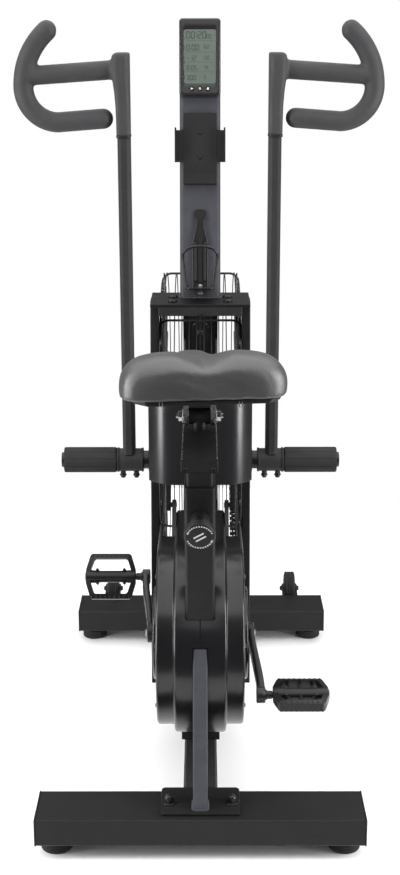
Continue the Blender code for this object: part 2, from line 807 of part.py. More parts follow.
def build_crankset():
    reach = CRANK_INNER + CRANK_THICKNESS
    spindle = round_bar(CRANK_AXIS, SPINDLE_RADIUS, -reach, reach, 20)
    parts = []
    for side in SIDES.values():
        centre, _ = eccentric_centre(side)
        parts.append(round_bar(centre, ECCENTRIC_RADIUS, *mirrored(side, 0.0325, 0.0415), 28))
    publish("crank_spindle", union(spindle, *parts), "bright_steel", at_axis(CRANK_AXIS))
    outer = CHAINRING_RADIUS - CHAIN_HALF_HEIGHT - GAP
    blank = round_ring(CRANK_AXIS, outer, SPINDLE_RADIUS + GAP, CHAIN_X - 0.002, CHAIN_X + 0.002, 48)
    windows = []
    for index in range(5):
        angle = math.tau * index / 5.0
        centre = (CRANK_AXIS[0] + 0.056 * math.cos(angle), CRANK_AXIS[1] + 0.056 * math.sin(angle))
        windows.append(round_bar(centre, 0.023, CHAIN_X - 0.01, CHAIN_X + 0.01, 14))
    publish("chainring", cut(blank, *windows), "black_steel", at_axis(CRANK_AXIS))


def pedal_axis(side):
    """Where a pedal's axle stands: the left crank points forward and up at rest."""
    reach = CRANK_LENGTH * -side
    return (CRANK_AXIS[0] + reach * math.cos(CRANK_ANGLE), CRANK_AXIS[1] + reach * math.sin(CRANK_ANGLE))


def build_cranks():
    for name, side in SIDES.items():
        axis = pedal_axis(side)
        span = mirrored(side, CRANK_INNER, CRANK_INNER + CRANK_THICKNESS)
        arm = prism(capsule(CRANK_AXIS, 0.0165, axis, 0.0125), "X", span[0] + side * 0.0004, span[1] - side * 0.0004)
        for vert in arm.verts:
            reach = math.dist((vert.co.y, vert.co.z), CRANK_AXIS) / CRANK_LENGTH
            vert.co.x += side * CRANK_SPLAY * reach
        boss = round_bar(CRANK_AXIS, 0.0185, *span)
        tip = round_bar(axis, CRANK_TIP_RADIUS, *mirrored(side, *CRANK_TIP))
        axle = round_bar(axis, 0.006, *mirrored(side, 0.105, PEDAL_INNER + PEDAL_WIDTH - 0.012), 14)
        bore = round_bar(CRANK_AXIS, SPINDLE_RADIUS + GAP, *mirrored(side, 0.08, 0.11), 20)
        crank = cut(union(arm, boss, tip, axle), bore)
        publish(f"crank_{name}", crank, "black_steel", at_axis(CRANK_AXIS))


def build_pedals():
    for name, side in SIDES.items():
        axis = pedal_axis(side)
        tilt = PEDAL_TILT[name]
        forward = Vector((math.cos(tilt), math.sin(tilt)))
        up = Vector((-forward.y, forward.x))

        def block(x_span, reach, thickness):
            corners = []
            for along, rise in rectangle((reach[0], -thickness / 2.0), (reach[1], thickness / 2.0)):
                point = Vector(axis) + forward * along + up * rise
                corners.append((point.x, point.y))
            return prism(corners, "X", *mirrored(side, *x_span))

        start = PEDAL_INNER
        end = PEDAL_INNER + PEDAL_WIDTH
        half = PEDAL_LENGTH / 2.0
        body = block((start, end), (-half, half), PEDAL_THICKNESS)
        barrel = round_bar(axis, 0.0135, *mirrored(side, start, end), 16)
        windows = []
        for reach in ((-half + 0.010, -0.013), (0.013, half - 0.010)):
            for span in ((start + 0.010, start + 0.044), (end - 0.044, end - 0.010)):
                windows.append(block(span, reach, PEDAL_THICKNESS * 2.0))
        bore = round_bar(axis, 0.0065, *mirrored(side, start - 0.01, end - 0.008), 14)
        publish(f"pedal_{name}", cut(union(body, barrel), bore, *windows), "matte_plastic", at_axis(axis))


# ---------------------------------------------------------------- arms


def arm_point(side, x, height, offset=0.0):
    """A world point up an arm from the pivot: the left arm leans back, the right one forward."""
    lean = side * ARM_TILT
    y = PIVOT[0] + height * math.sin(lean) + offset * math.cos(lean)
    z = PIVOT[1] + height * math.cos(lean) - offset * math.sin(lean)
    return (x, y, z)


def build_arms():
    for name, side in SIDES.items():
        x = side * ARM_X
        tube = box_tube(arm_point(side, x, 0.015), arm_point(side, x, ARM_TOP), ARM_WIDTH, ARM_DEPTH, TUBE_WALL, 0.006)
        sleeve = round_bar(PIVOT, SLEEVE_RADIUS, *mirrored(side, SLEEVE_INNER, SLEEVE_OUTER))
        bore = round_bar(PIVOT, AXLE_RADIUS + GAP, *mirrored(side, 0.10, 0.16), 20)
        ears = []
        for shift in (-0.0125, 0.0125):
            centre = arm_point(side, x + shift, 0.0)
            ears.append(prism(circle((centre[0], centre[1]), 0.005, 8), "Z", 0.556, 0.575))
        publish(f"arm_{name}", cut(union(tube, sleeve, *ears), bore), "powder_black", at_axis(PIVOT))


def handle_point(side, out, up):
    """A world point of the handle, outwards and up from the middle of its hub."""
    return arm_point(side, side * (HUB_X + out), HUB_HEIGHT + up)


def handle_path(side):
    """The centre line of the outer grip: horn, bulge, lower bend and the lower bar's free end."""
    reach = 0.170
    level = -0.030
    horn_bend = 0.145
    low_bend = 0.0600
    path = []
    for out, up in arc((reach - horn_bend, level), horn_bend, math.radians(46.0), 0.0, 7):
        path.append(handle_point(side, out, up))
    for out, up in arc((reach - low_bend, level), low_bend, 0.0, math.radians(-88.0), 8)[1:]:
        path.append(handle_point(side, out, up))
    path.append(handle_point(side, LOWER_BAR_END, -0.0825))
    return path


def build_grips():
    for name, side in SIDES.items():
        outer = swept_bar(handle_path(side), GRIP_RADIUS, 12)
        crossbar = swept_bar([handle_point(side, 0.0, 0.0), handle_point(side, 0.160, -0.011)], CROSSBAR_RADIUS, 14)
        inner = HUB_X - HUB_WIDTH / 2.0
        hub = beam(
            handle_point(side, 0.0, -0.020), handle_point(side, 0.0, 0.027), chamfered(HUB_WIDTH, 0.052, 0.010)
        )
        section = chamfered(ARM_WIDTH + 0.002, ARM_DEPTH + 0.003, 0.006)
        upward = Vector(arm_point(side, 0.0, 1.0)) - Vector(arm_point(side, 0.0, 0.0))
        neck = beam(
            arm_point(side, side * (inner + ARM_WIDTH / 2.0 + 0.0005), ARM_TOP + GAP),
            handle_point(side, 0.0, -0.018), section, start_cut=upward,
        )
        publish(f"grip_{name}", union(hub, neck, crossbar, outer), "foam_grip", at_axis(PIVOT))


def build_levers():
    """The hollow shaft that carries an arm's motion inboard, with its lever."""
    for name, side in SIDES.items():
        _, end = eccentric_centre(side)
        shaft = round_bar(PIVOT, 0.017, *mirrored(side, 0.046, SLEEVE_INNER - GAP))
        plate = prism(capsule(PIVOT, 0.017, end, 0.012), "X", *mirrored(side, LEVER_X - 0.004, LEVER_X + 0.004))
        pin = round_bar(end, 0.005, *mirrored(side, ROD_X - 0.005, LEVER_X), 12)
        bore = round_bar(PIVOT, AXLE_RADIUS + GAP, *mirrored(side, 0.03, 0.12), 20)
        publish(f"arm_lever_{name}", cut(union(shaft, plate, pin), bore), "black_steel", at_axis(PIVOT))


def build_link_rods():
    for name, side in SIDES.items():
        centre, end = eccentric_centre(side)
        span = mirrored(side, ROD_X - ROD_THICKNESS / 2.0, ROD_X + ROD_THICKNESS / 2.0)
        rod = prism(capsule(end, 0.010, centre, 0.010), "X", *span)
        strap = round_bar(centre, STRAP_OUTER, *span, 28)
        holes = [
            round_bar(end, 0.0054, span[0] - 0.01, span[1] + 0.01, 14),
            round_bar(centre, STRAP_BORE, span[0] - 0.01, span[1] + 0.01, 28),
        ]
        publish(f"link_rod_{name}", cut(union(rod, strap), *holes), "bright_steel", at_axis(end))


def build_pivot():
    """The fixed axle through both arms, with the foot pegs on its ends."""
    shaft = round_bar(PIVOT, AXLE_RADIUS, -PEG_OUTER - 0.001, PEG_OUTER + 0.001, 20)
    heads = [round_bar(PIVOT, 0.014, *mirrored(side, PEG_OUTER + GAP, 0.2595), 16) for side in SIDES.values()]
    publish("pivot_axle", union(shaft, *heads), "bright_steel")
    for name, side in SIDES.items():
        outer = circle(PIVOT, PEG_RADIUS, 16, math.pi / 16.0)
        inner = circle(PIVOT, AXLE_RADIUS + GAP, 16, math.pi / 16.0)
        peg = ring_prism(outer, inner, "X", *mirrored(side, PEG_INNER, PEG_OUTER))
        publish(f"foot_peg_{name}", peg, "rubber")


def build_deflector():
    """A shield in front of the rider's legs, curved forward at both sides."""
    half = 0.0955
    outline = []
    for depth in (0.0, 0.003):
        points = []
        for step in range(13):
            x = -half + 2.0 * half * step / 12.0
            bend = max(abs(x) - 0.045, 0.0) / (half - 0.045)
            points.append((x, -0.137 + depth + 0.030 * bend * bend))
        outline.append(points)
    publish("wind_deflector", prism(outline[0] + outline[1][::-1], "Z", 0.557, 0.735), "gloss_shell")


# ---------------------------------------------------------------- housing


def housing_outline(radius, top, inset):
    """A circle about the crank axis with a squared extension towards the fan."""
    r = radius - inset
    front = HOUSING_FRONT - inset
    corner = 0.015
    points = arc(CRANK_AXIS, r, math.radians(90.0), math.radians(318.0), 26)
    lower = points[-1]
    points.append((front, lower[1] + (front - lower[0]) * 1.11))
    points.append((front, top - inset - corner))
    points.append((front - corner, top - inset))
    return points


def build_housing():
    hump_top = CRANK_AXIS[1] + HUMP_RADIUS
    flank_top = 0.458
    tube_run = Vector(SEAT_TUBE_TOP) - Vector(SEAT_TUBE_BOTTOM)
    for name, side in SIDES.items():
        shell = union(
            prism(housing_outline(HUMP_RADIUS, hump_top, 0.0), "X", *mirrored(side, GAP / 2.0, HUMP_HALF_WIDTH)),
            prism(housing_outline(FLANK_RADIUS, flank_top, 0.0), "X",
                  *mirrored(side, HUMP_HALF_WIDTH - 0.002, FLANK_HALF_WIDTH)),
            round_bar(CRANK_AXIS, DISC_RADIUS, *mirrored(side, FLANK_HALF_WIDTH - 0.002, DISC_HALF_WIDTH), 36),
        )
        wall = SHELL_WALL
        hump_hollow = prism(housing_outline(HUMP_RADIUS, hump_top, wall), "X",
                            *mirrored(side, -0.01, HUMP_HALF_WIDTH - wall))
        flank_hollow = prism(housing_outline(FLANK_RADIUS, flank_top, wall), "X",
                             *mirrored(side, -0.01, FLANK_HALF_WIDTH - wall))
        spindle_hole = round_bar(CRANK_AXIS, 0.014, *mirrored(side, 0.05, 0.10), 20)
        seat_slot = beam(
            at_axis(SEAT_TUBE_BOTTOM), at_axis(tuple(Vector(SEAT_TUBE_TOP) + tube_run)),
            chamfered(SEAT_TUBE_WIDTH + 0.002, SEAT_TUBE_WIDTH + 0.002, 0.004),
        )
        brace_slot = prism([(-0.46, 0.18), (-0.30, 0.22), (-0.34, 0.352), (-0.43, 0.352)], "X", -0.0135, 0.0135)
        foot_slot = prism(rectangle((-0.034, -0.225), (0.034, -0.140)), "Z", 0.05, 0.16)
        rod_slot = prism([(-0.155, 0.40), (-0.06, 0.40), (-0.06, 0.52), (-0.155, 0.52)], "X",
                         *mirrored(side, -0.01, 0.069))
        front_slot = prism([(-0.09, 0.25), (-0.04, 0.25), (-0.04, 0.47), (-0.09, 0.47)], "X",
                           *mirrored(side, 0.052, 0.071))
        shell = cut(shell, hump_hollow, flank_hollow, spindle_hole, seat_slot, brace_slot, foot_slot, rod_slot,
                    front_slot)
        publish(f"housing_{name}", shell, "gloss_shell")


# ---------------------------------------------------------------- seat


def seat_axis_point(distance):
    """The (y, z) on the seat tube's centre line, measured up from its top end."""
    up = (Vector(SEAT_TUBE_TOP) - Vector(SEAT_TUBE_BOTTOM)).normalized()
    point = Vector(SEAT_TUBE_TOP) + up * distance
    return (point.x, point.y)


def square_to_seat_tube(radius, low, high, sides):
    """A round bar square to the seat tube's rear face, between two distances from that face."""
    up = (Vector(SEAT_TUBE_TOP) - Vector(SEAT_TUBE_BOTTOM)).normalized()
    back = Vector((-up.y, up.x))
    base = Vector(seat_axis_point(PIN_DISTANCE)) + back * (SEAT_TUBE_WIDTH / 2.0)
    start = at_axis(tuple(base + back * low))
    end = at_axis(tuple(base + back * high))
    return beam(start, end, circle((0.0, 0.0), radius, sides))


def build_seat_post():
    """The height post, with a guide head that the fore-and-aft slider runs on."""
    slope = (SEAT_TUBE_TOP[0] - SEAT_TUBE_BOTTOM[0]) / (SEAT_TUBE_TOP[1] - SEAT_TUBE_BOTTOM[1])
    top_z = SLIDER_BOTTOM - GAP
    top = (SEAT_TUBE_TOP[0] + (top_z - SEAT_TUBE_TOP[1]) * slope, top_z)
    post = box_tube(at_axis(seat_axis_point(-0.24)), at_axis(top), POST_WIDTH, POST_WIDTH, 0.0025, 0.004,
                    end_cut=(0.0, 0.0, 1.0))
    plate = prism(rectangle((-0.020, top[0] - 0.018), (0.020, top[0] + 0.018)), "Z", top_z - 0.006, top_z - 0.001)
    plate = union(plate, prism(rectangle((-0.022, top[0] - 0.010), (0.022, top[0] + 0.010)), "Z",
                               top_z - 0.006, top_z - 0.001))
    neck = prism(rectangle((-0.008, top[0] - 0.018), (0.008, top[0] + 0.018)), "Z", top_z - 0.003, SLIDER_BOTTOM + 0.008)
    head = prism(rectangle((-0.0232, -0.500), (0.0232, -0.410)), "Z", SLIDER_BOTTOM + 0.0042, SLIDER_BOTTOM + 0.014)
    publish("seat_post", union(post, plate, neck, head), "powder_black", at_axis(SEAT_TUBE_TOP))


def build_seat_slider():
    outer = 0.027
    inner = 0.024
    slot = 0.0085
    lip = SLIDER_BOTTOM + 0.0038
    roof = SLIDER_TOP - 0.003
    outline = [
        (-slot, SLIDER_BOTTOM), (-outer, SLIDER_BOTTOM), (-outer, SLIDER_TOP), (outer, SLIDER_TOP),
        (outer, SLIDER_BOTTOM), (slot, SLIDER_BOTTOM), (slot, lip), (inner, lip),
        (inner, roof), (-inner, roof), (-inner, lip), (-slot, lip),
    ]
    channel = prism(outline, "Y", SLIDER_REAR + 0.005, SLIDER_FRONT)
    cap = prism(rectangle((-0.0292, SLIDER_BOTTOM - 0.0005), (0.0292, SLIDER_TOP + 0.0005)), "Y",
                SLIDER_REAR, SLIDER_REAR + 0.006)
    stem = prism(circle((0.0, SADDLE_BOLT[0]), 0.0125, 16), "Z", SLIDER_TOP - 0.001, SADDLE_BOLT[1])
    barrel = round_bar(SADDLE_BOLT, 0.0135, -0.0175, 0.0175, 20)
    bore = round_bar(SADDLE_BOLT, 0.0043, -0.03, 0.03, 12)
    publish("seat_slider", cut(union(channel, cap, stem, barrel), bore), "powder_black", at_axis(SADDLE_BOLT))


def build_saddle_clamp():
    """Clamp plates, their cross bolt and the saddle's two rails."""
    bolt = round_bar(SADDLE_BOLT, 0.004, -0.038, 0.038, 12)
    rail_z = SADDLE_BOTTOM - 0.0125
    parts = []
    for side in SIDES.values():
        outline = arc(SADDLE_BOLT, 0.016, math.pi, math.tau, 10) + [(-0.393, rail_z + 0.003), (-0.429, rail_z + 0.003)]
        parts.append(prism(outline, "X", *mirrored(side, 0.018, 0.026)))
        parts.append(round_bar(SADDLE_BOLT, 0.008, *mirrored(side, 0.0255, 0.033), 6))
        x = side * 0.022
        parts.append(beam((x, -0.500, rail_z), (x, -0.330, rail_z), circle((0.0, 0.0), 0.0035, 8)))
        for y in (-0.500, -0.330):
            parts.append(prism(rectangle((x - 0.005, y - 0.008), (x + 0.005, y + 0.008)), "Z",
                               rail_z - 0.004, SADDLE_BOTTOM - 0.0075))
    publish("saddle_clamp", union(bolt, *parts), "bright_steel", at_axis(SADDLE_BOLT))


SADDLE_SHAPE = (
    # share of the length from the rear, half width, height of the top over the base, notch depth
    (0.00, 0.070, 0.036, 0.010),
    (0.04, 0.104, 0.056, 0.016),
    (0.12, 0.1250, 0.064, 0.016),
    (0.24, 0.1275, 0.063, 0.013),
    (0.36, 0.1130, 0.055, 0.010),
    (0.50, 0.0800, 0.045, 0.006),
    (0.66, 0.0500, 0.036, 0.003),
    (0.84, 0.0340, 0.030, 0.0),
    (0.96, 0.0260, 0.024, 0.0),
    (1.00, 0.0160, 0.014, 0.0),
)


def saddle_point(x, share, z):
    """A point of the saddle, whose nose is turned a little to the rider's left."""
    length = share * SADDLE_LENGTH - SADDLE_LENGTH / 2.0
    y = SADDLE_REAR + SADDLE_LENGTH / 2.0
    turn = SADDLE_YAW
    return (x * math.cos(turn) - length * math.sin(turn), y + x * math.sin(turn) + length * math.cos(turn), z)


def lofted(sections):
    """A closed solid through rings of equally many points."""
    solid = bmesh.new()
    rings = [[solid.verts.new(point) for point in ring] for ring in sections]
    solid.faces.new(rings[0])
    solid.faces.new(rings[-1])
    count = len(rings[0])
    for lower, upper in zip(rings, rings[1:]):
        for here in range(count):
            there = (here + 1) % count
            solid.faces.new((lower[here], lower[there], upper[there], upper[here]))
    bmesh.ops.recalc_face_normals(solid, faces=solid.faces)
    return solid


def build_saddle():
    pad = []
    pan = []
    for share, half, rise, notch in SADDLE_SHAPE:
        ring = []
        for step in range(20):
            angle = math.tau * step / 20.0
            cosine = math.cos(angle)
            sine = math.sin(angle)
            x = half * math.copysign(abs(cosine) ** 0.7, cosine)
            if sine > 0.0:
                z = SADDLE_BOTTOM + GAP + rise * sine ** 0.75 - notch * math.exp(-(x / 0.03) ** 2) * sine
            else:
                z = SADDLE_BOTTOM + GAP
                x = half * math.copysign(abs(cosine) ** 0.7, cosine) * 0.97
            ring.append(saddle_point(x, share, z))
        pad.append(ring)
        low_half = half * 0.93
        if 0.0 < share < 1.0:
            flat = []
            for x, z in ((low_half, 0.0), (low_half - 0.004, -0.007), (4e-3 - low_half, -0.007), (-low_half, 0.0)):
                flat.append(saddle_point(x, share, SADDLE_BOTTOM + z))
            pan.append(flat)
    publish("saddle_pad", lofted(pad), "leatherette", at_axis(SADDLE_BOLT))
    publish("saddle_pan", lofted(pan), "matte_plastic", at_axis(SADDLE_BOLT))


def build_pop_pin():
    """The spring plunger's knob, which locks the seat height, square to the seat tube."""
    knob = union(
        square_to_seat_tube(0.010, 0.020 + GAP, 0.038, 20), square_to_seat_tube(0.0255, 0.034, 0.051, 32)
    )
    publish("pop_pin_knob", knob, "matte_plastic", at_axis(seat_axis_point(PIN_DISTANCE)))


def main():
    for item in list(bpy.data.objects):
        bpy.data.objects.remove(item)
    build_floor_frame()
    build_end_caps()
    build_feet()
    build_wheels()
    build_rear_brace()
    build_drive_mount()
    build_seat_tube()
    build_uprights()
    build_front_legs()
    build_mast()
    build_console()
    build_phone_holder()
    build_bottle_cage()
    build_fan_guard()
    build_fan()
    build_chain()
    build_crankset()
    build_cranks()
    build_pedals()
    build_arms()
    build_grips()
    build_levers()
    build_link_rods()
    build_pivot()
    build_deflector()
    build_housing()
    build_seat_post()
    build_seat_slider()
    build_saddle_clamp()
    build_saddle()
    build_pop_pin()


main()
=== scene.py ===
import json
import math

import bmesh
import bpy
from mathutils import Matrix, Vector


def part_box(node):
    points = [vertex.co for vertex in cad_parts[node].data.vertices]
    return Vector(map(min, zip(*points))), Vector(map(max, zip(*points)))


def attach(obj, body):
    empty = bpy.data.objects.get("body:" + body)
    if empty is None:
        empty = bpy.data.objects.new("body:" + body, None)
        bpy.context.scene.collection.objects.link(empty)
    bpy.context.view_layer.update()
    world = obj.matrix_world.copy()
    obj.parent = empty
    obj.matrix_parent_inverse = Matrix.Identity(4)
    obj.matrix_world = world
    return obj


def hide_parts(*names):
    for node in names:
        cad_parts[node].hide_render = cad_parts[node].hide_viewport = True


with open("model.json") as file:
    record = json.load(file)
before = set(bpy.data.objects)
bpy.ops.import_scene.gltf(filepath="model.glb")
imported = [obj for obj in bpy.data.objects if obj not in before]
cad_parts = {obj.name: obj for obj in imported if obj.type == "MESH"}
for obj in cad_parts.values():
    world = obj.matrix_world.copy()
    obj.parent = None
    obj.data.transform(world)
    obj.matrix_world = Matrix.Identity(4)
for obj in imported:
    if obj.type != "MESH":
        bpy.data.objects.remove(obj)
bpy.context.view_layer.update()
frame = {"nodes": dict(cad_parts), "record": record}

RECORD = frame["record"]
JOINTS = {joint["name"]: joint for joint in RECORD["behaviour"]["joints"]}
BODY_OF = {node: body for body, nodes in RECORD["behaviour"]["bodies"].items() for node in nodes}
SLOT_OF = {part["node"]: part["material_slot"] for part in RECORD["subparts"]}
SIDES = {"left": -1.0, "right": 1.0}
BOTH_WAYS = (-1.0, 1.0)
X = Vector((1.0, 0.0, 0.0))
Y = Vector((0.0, 1.0, 0.0))
Z = Vector((0.0, 0.0, 1.0))


def joint_at(name):
    return Vector(JOINTS[name]["pos_m"])


def low_of(node):
    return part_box(node)[0]


def high_of(node):
    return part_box(node)[1]


def middle_of(node):
    return (low_of(node) + high_of(node)) / 2.0


def size_of(node):
    return high_of(node) - low_of(node)


def reach_of(node):
    """How far a node on one side begins and ends from the middle of the bike."""
    return sorted((abs(low_of(node).x), abs(high_of(node).x)))


CRANK = joint_at("crank_spin")
FAN = joint_at("fan_spin")
PIVOT = Vector((0.0, joint_at("left_arm_swing").y, joint_at("left_arm_swing").z))
SADDLE_BOLT = joint_at("saddle_tilt")
MAST_OUT = -Vector(JOINTS["left_button_press"]["axis"])
MAST_UP = MAST_OUT.cross(X)
MAST_HALF_DEPTH = 0.02
MAST_FOOT = Vector((0.0, low_of("console_mast").y + MAST_HALF_DEPTH / MAST_UP.z, low_of("console_mast").z))
TUBE_UP = Vector(JOINTS["seat_height"]["axis"])
TUBE_BACK = Vector(JOINTS["pin_pull"]["axis"])
TUBE_HALF = 0.025
TUBE_FOOT = Vector((
    0.0,
    high_of("seat_tube").y - TUBE_HALF * abs(TUBE_BACK.y),
    low_of("seat_tube").z + TUBE_HALF * abs(TUBE_BACK.z),
))
TUBE_LENGTH = (high_of("seat_tube").z - TUBE_HALF * abs(TUBE_BACK.z) - TUBE_FOOT.z) / TUBE_UP.z


def on_mast(x, height, out=0.0):
    """A point on the mast: x across, height up its slope, out from its rear face."""
    return MAST_FOOT + X * x + MAST_UP * height + MAST_OUT * (MAST_HALF_DEPTH + out)


def around_fan(radius, angle, x):
    return Vector((x, FAN.y + radius * math.cos(angle), FAN.z + radius * math.sin(angle)))


def fan_circle(radius, x, count):
    return [around_fan(radius, math.tau * step / count, x) for step in range(count)]


# ---------------------------------------------------------------- shapes


class Shape:
    """Points and faces gathered from simple solids, before they become one piece."""

    def __init__(self, *parts):
        self.points = []
        self.faces = []
        for part in parts:
            self.add(part)

    def add(self, part):
        start = len(self.points)
        points, faces = (part.points, part.faces) if isinstance(part, Shape) else part
        self.points.extend(tuple(point) for point in points)
        self.faces.extend(tuple(start + index for index in face) for face in faces)


def skin(rings, caps=True, loop=False):
    """Points and faces of a surface through rings of equally many points."""
    count = len(rings[0])
    points = [tuple(point) for ring in rings for point in ring]
    faces = []
    for row in range(len(rings) if loop else len(rings) - 1):
        low = row * count
        high = (row + 1) % len(rings) * count
        for here in range(count):
            there = (here + 1) % count
            faces.append((low + here, low + there, high + there, high + here))
    if caps and not loop:
        faces.append(tuple(reversed(range(count))))
        faces.append(tuple(range((len(rings) - 1) * count, len(rings) * count)))
    return points, faces


def square_axes(direction):
    """Two directions square to one another and to the given one."""
    helper = X if abs(direction.x) < 0.8 else Z
    across = direction.cross(helper).normalized()
    return across, direction.cross(across).normalized()


def turned(profile, start, direction, sides=40):
    """A lathe shape: the profile holds (distance along, radius) pairs."""
    direction = Vector(direction).normalized()
    across, up = square_axes(direction)
    rings = []
    for along, radius in profile:
        ring = []
        for step in range(sides):
            angle = math.tau * step / sides
            spoke = across * math.cos(angle) + up * math.sin(angle)
            ring.append(start + direction * along + spoke * max(radius, 0.00002))
        rings.append(ring)
    return skin(rings)


def rod(start, end, radius, sides=24, edge=0.0006):
    """A round bar with chamfered ends."""
    run = Vector(end) - Vector(start)
    length = run.length
    profile = [(0.0, radius - edge), (edge, radius), (length - edge, radius), (length, radius - edge)]
    return turned(profile, Vector(start), run, sides)


def ring_of(start, end, radius, bore, sides=40, edge=0.0006):
    """A round collar with a hole through it."""
    run = end - start
    length = run.length
    profile = [
        (0.0, bore), (0.0, radius - edge), (edge, radius), (length - edge, radius), (length, radius - edge),
        (length, bore),
    ]
    points, faces = turned(profile, start, run, sides)
    faces = faces[:-2]
    last = (len(profile) - 1) * sides
    for here in range(sides):
        there = (here + 1) % sides
        faces.append((last + here, last + there, there, here))
    return points, faces


def tube(path, radius, sides=12, loop=False, squeeze=1.0, bulge=None):
    """A bar swept along a path; bulge gives a factor of the radius for each point."""
    path = [Vector(point) for point in path]
    count = len(path)
    rings = []
    side = None
    for index, point in enumerate(path):
        before = path[index - 1] if index or loop else point
        after = path[(index + 1) % count] if index < count - 1 or loop else point
        ahead = (after - before).normalized()
        if side is None:
            side, _ = square_axes(ahead)
        side = (side - ahead * side.dot(ahead)).normalized()
        up = ahead.cross(side)
        size = radius * (bulge(index / (count - 1.0)) if bulge else 1.0)
        ring = []
        for step in range(sides):
            angle = math.tau * step / sides
            ring.append(point + side * size * math.cos(angle) + up * size * squeeze * math.sin(angle))
        rings.append(ring)
    return skin(rings, loop=loop)


def bar(start, end, outline, edge=0.0, level_foot=False):
    """An outline swept straight from start to end, its foot cut level if asked."""
    along = (end - start).normalized()
    up = along.cross(X).normalized()
    rings = []
    for point, inset in ((start, 0.0), (end - along * edge, 0.0), (end, edge)):
        ring = []
        for a, b in outline:
            size = math.hypot(a, b)
            share = (size - inset) / size
            corner = point + X * (a * share) + up * (b * share)
            if level_foot and point is start:
                corner -= along * ((corner.z - start.z) / along.z)
            ring.append(corner)
        rings.append(ring)
    return skin(rings)


def arc(centre, radius, start, end, steps):
    points = []
    for step in range(steps + 1):
        angle = start + (end - start) * step / steps
        points.append((centre[0] + radius * math.cos(angle), centre[1] + radius * math.sin(angle)))
    return points


def degrees_arc(centre, radius, start, end, steps):
    return arc(centre, radius, math.radians(start), math.radians(end), steps)


def straight(start, end, steps):
    """Points evenly along a line, without its start."""
    return [(start[0] + (end[0] - start[0]) * k / steps, start[1] + (end[1] - start[1]) * k / steps)
            for k in range(1, steps + 1)]


def eased(share):
    """A share that starts and ends gently."""
    return share * share * (3.0 - 2.0 * share)


def mirrored(outline):
    """A half outline and its mirror image, as one loop."""
    return outline + [(-a, b) for a, b in reversed(outline)]


def rounded(width, depth, corner, steps=5):
    """The outline of a rounded rectangle about the origin."""
    outline = []
    for index, (a, b) in enumerate(((1, 1), (-1, 1), (-1, -1), (1, -1))):
        centre = (a * (width / 2.0 - corner), b * (depth / 2.0 - corner))
        outline += arc(centre, corner, index * math.pi / 2.0, (index + 1) * math.pi / 2.0, steps)
    return outline


def rectangle(low, high):
    return [low, (high[0], low[1]), high, (low[0], high[1])]


def centred(width, height):
    return rectangle((-width / 2.0, -height / 2.0), (width / 2.0, height / 2.0))


def block(outline, origin, across, up, low, high, edge=0.0):
    """An outline in the plane of two directions, pushed along their normal, with chamfered rims."""
    normal = across.cross(up)
    rings = []
    middle = Vector((sum(a for a, _ in outline), sum(b for _, b in outline))) / len(outline)
    levels = [(low, 0.0), (high, 0.0)]
    if edge:
        levels = [(low, edge), (low + edge, 0.0), (high - edge, 0.0), (high, edge)]
    for level, inset in levels:
        ring = []
        for a, b in outline:
            inward = middle - Vector((a, b))
            inward = inward.normalized() * min(inset, inward.length)
            ring.append(origin + across * (a + inward.x) + up * (b + inward.y) + normal * level)
        rings.append(ring)
    return skin(rings)


def printed(outline, at, up):
    """A mark as thin as ink, lying across the bike at a point."""
    return block(outline, at, X, up, -0.0001, 0.0001)


def slab(outline, low, high):
    """An outline in the side view, extruded across."""
    return skin([[Vector((x, a, b)) for a, b in outline] for x in (low, high)])


def hexagon_head(at, out, size, height):
    """A hexagon bolt head on its washer."""
    washer = turned([(0.0, size * 1.25), (0.0009, size * 1.3), (0.0013, size * 1.22)], at, out, 28)
    profile = [(0.0012, size), (height - 0.0008, size), (height - 0.0003, size * 0.9), (height, size * 0.8)]
    return Shape(washer, turned(profile, at, out, 6))


def acorn_nut(at, out, size):
    """A domed cap nut on its washer."""
    washer = turned([(0.0, size * 1.4), (0.0012, size * 1.45), (0.0018, size * 1.38)], at, out, 32)
    hexagon = turned([(0.0015, size), (size * 0.8, size), (size * 0.95, size * 0.92)], at, out, 6)
    dome = [(size * 0.5, size * 0.84)]
    for step in range(6):
        turn = 0.3 * step
        dome.append((size * 0.9 + size * 0.75 * math.sin(turn), size * 0.84 * math.cos(turn)))
    return Shape(washer, hexagon, turned(dome, at, out, 28))


def cross_screw(at, out, size):
    """A pan head screw with a cross recess."""
    out = Vector(out).normalized()
    across, up = square_axes(out)
    head = [(0.0, size), (size * 0.25, size), (size * 0.48, size * 0.82), (size * 0.56, size * 0.5),
            (size * 0.58, 0.0)]
    shape = Shape(turned(head, at, out, 28))
    slot = centred(size * 0.9, size * 0.18)
    for first, second in ((across, up), (up, across)):
        shape.add(block(slot, at + out * size * 0.585, first, second, -0.0002, 0.0002))
    return shape


def weld_bead(path, radius, loop=False):
    """A weld's rippled bead along a joint."""
    finer = []
    points = [Vector(point) for point in path]
    ends = zip(points, points[1:] + points[:1]) if loop else zip(points, points[1:])
    for start, end in ends:
        steps = max(2, int((end - start).length / (radius * 0.55)))
        finer += [start.lerp(end, step / steps) for step in range(steps)]
    if not loop:
        finer.append(points[-1])
    count = len(finer) - 1.0
    return tube(finer, radius, 8, loop, 1.0, lambda share: 1.0 + 0.16 * math.cos(share * count * math.pi))


# ---------------------------------------------------------------- materials


NOISE = "ShaderNodeTexNoise"
CELLS = "ShaderNodeTexVoronoi"


def texture(material, kind, scale, **settings):
    """The value of a noise or cell texture in the piece's own coordinates."""
    tree = material.node_tree
    place = tree.nodes.get("Place")
    if place is None:
        place = tree.nodes.new("ShaderNodeTexCoord")
        place.name = "Place"
    node = tree.nodes.new(kind)
    node.inputs["Scale"].default_value = scale
    for name, value in settings.items():
        node.inputs[name].default_value = value
    tree.links.new(place.outputs["Object"], node.inputs["Vector"])
    return node.outputs["Distance" if kind == CELLS else "Fac"]


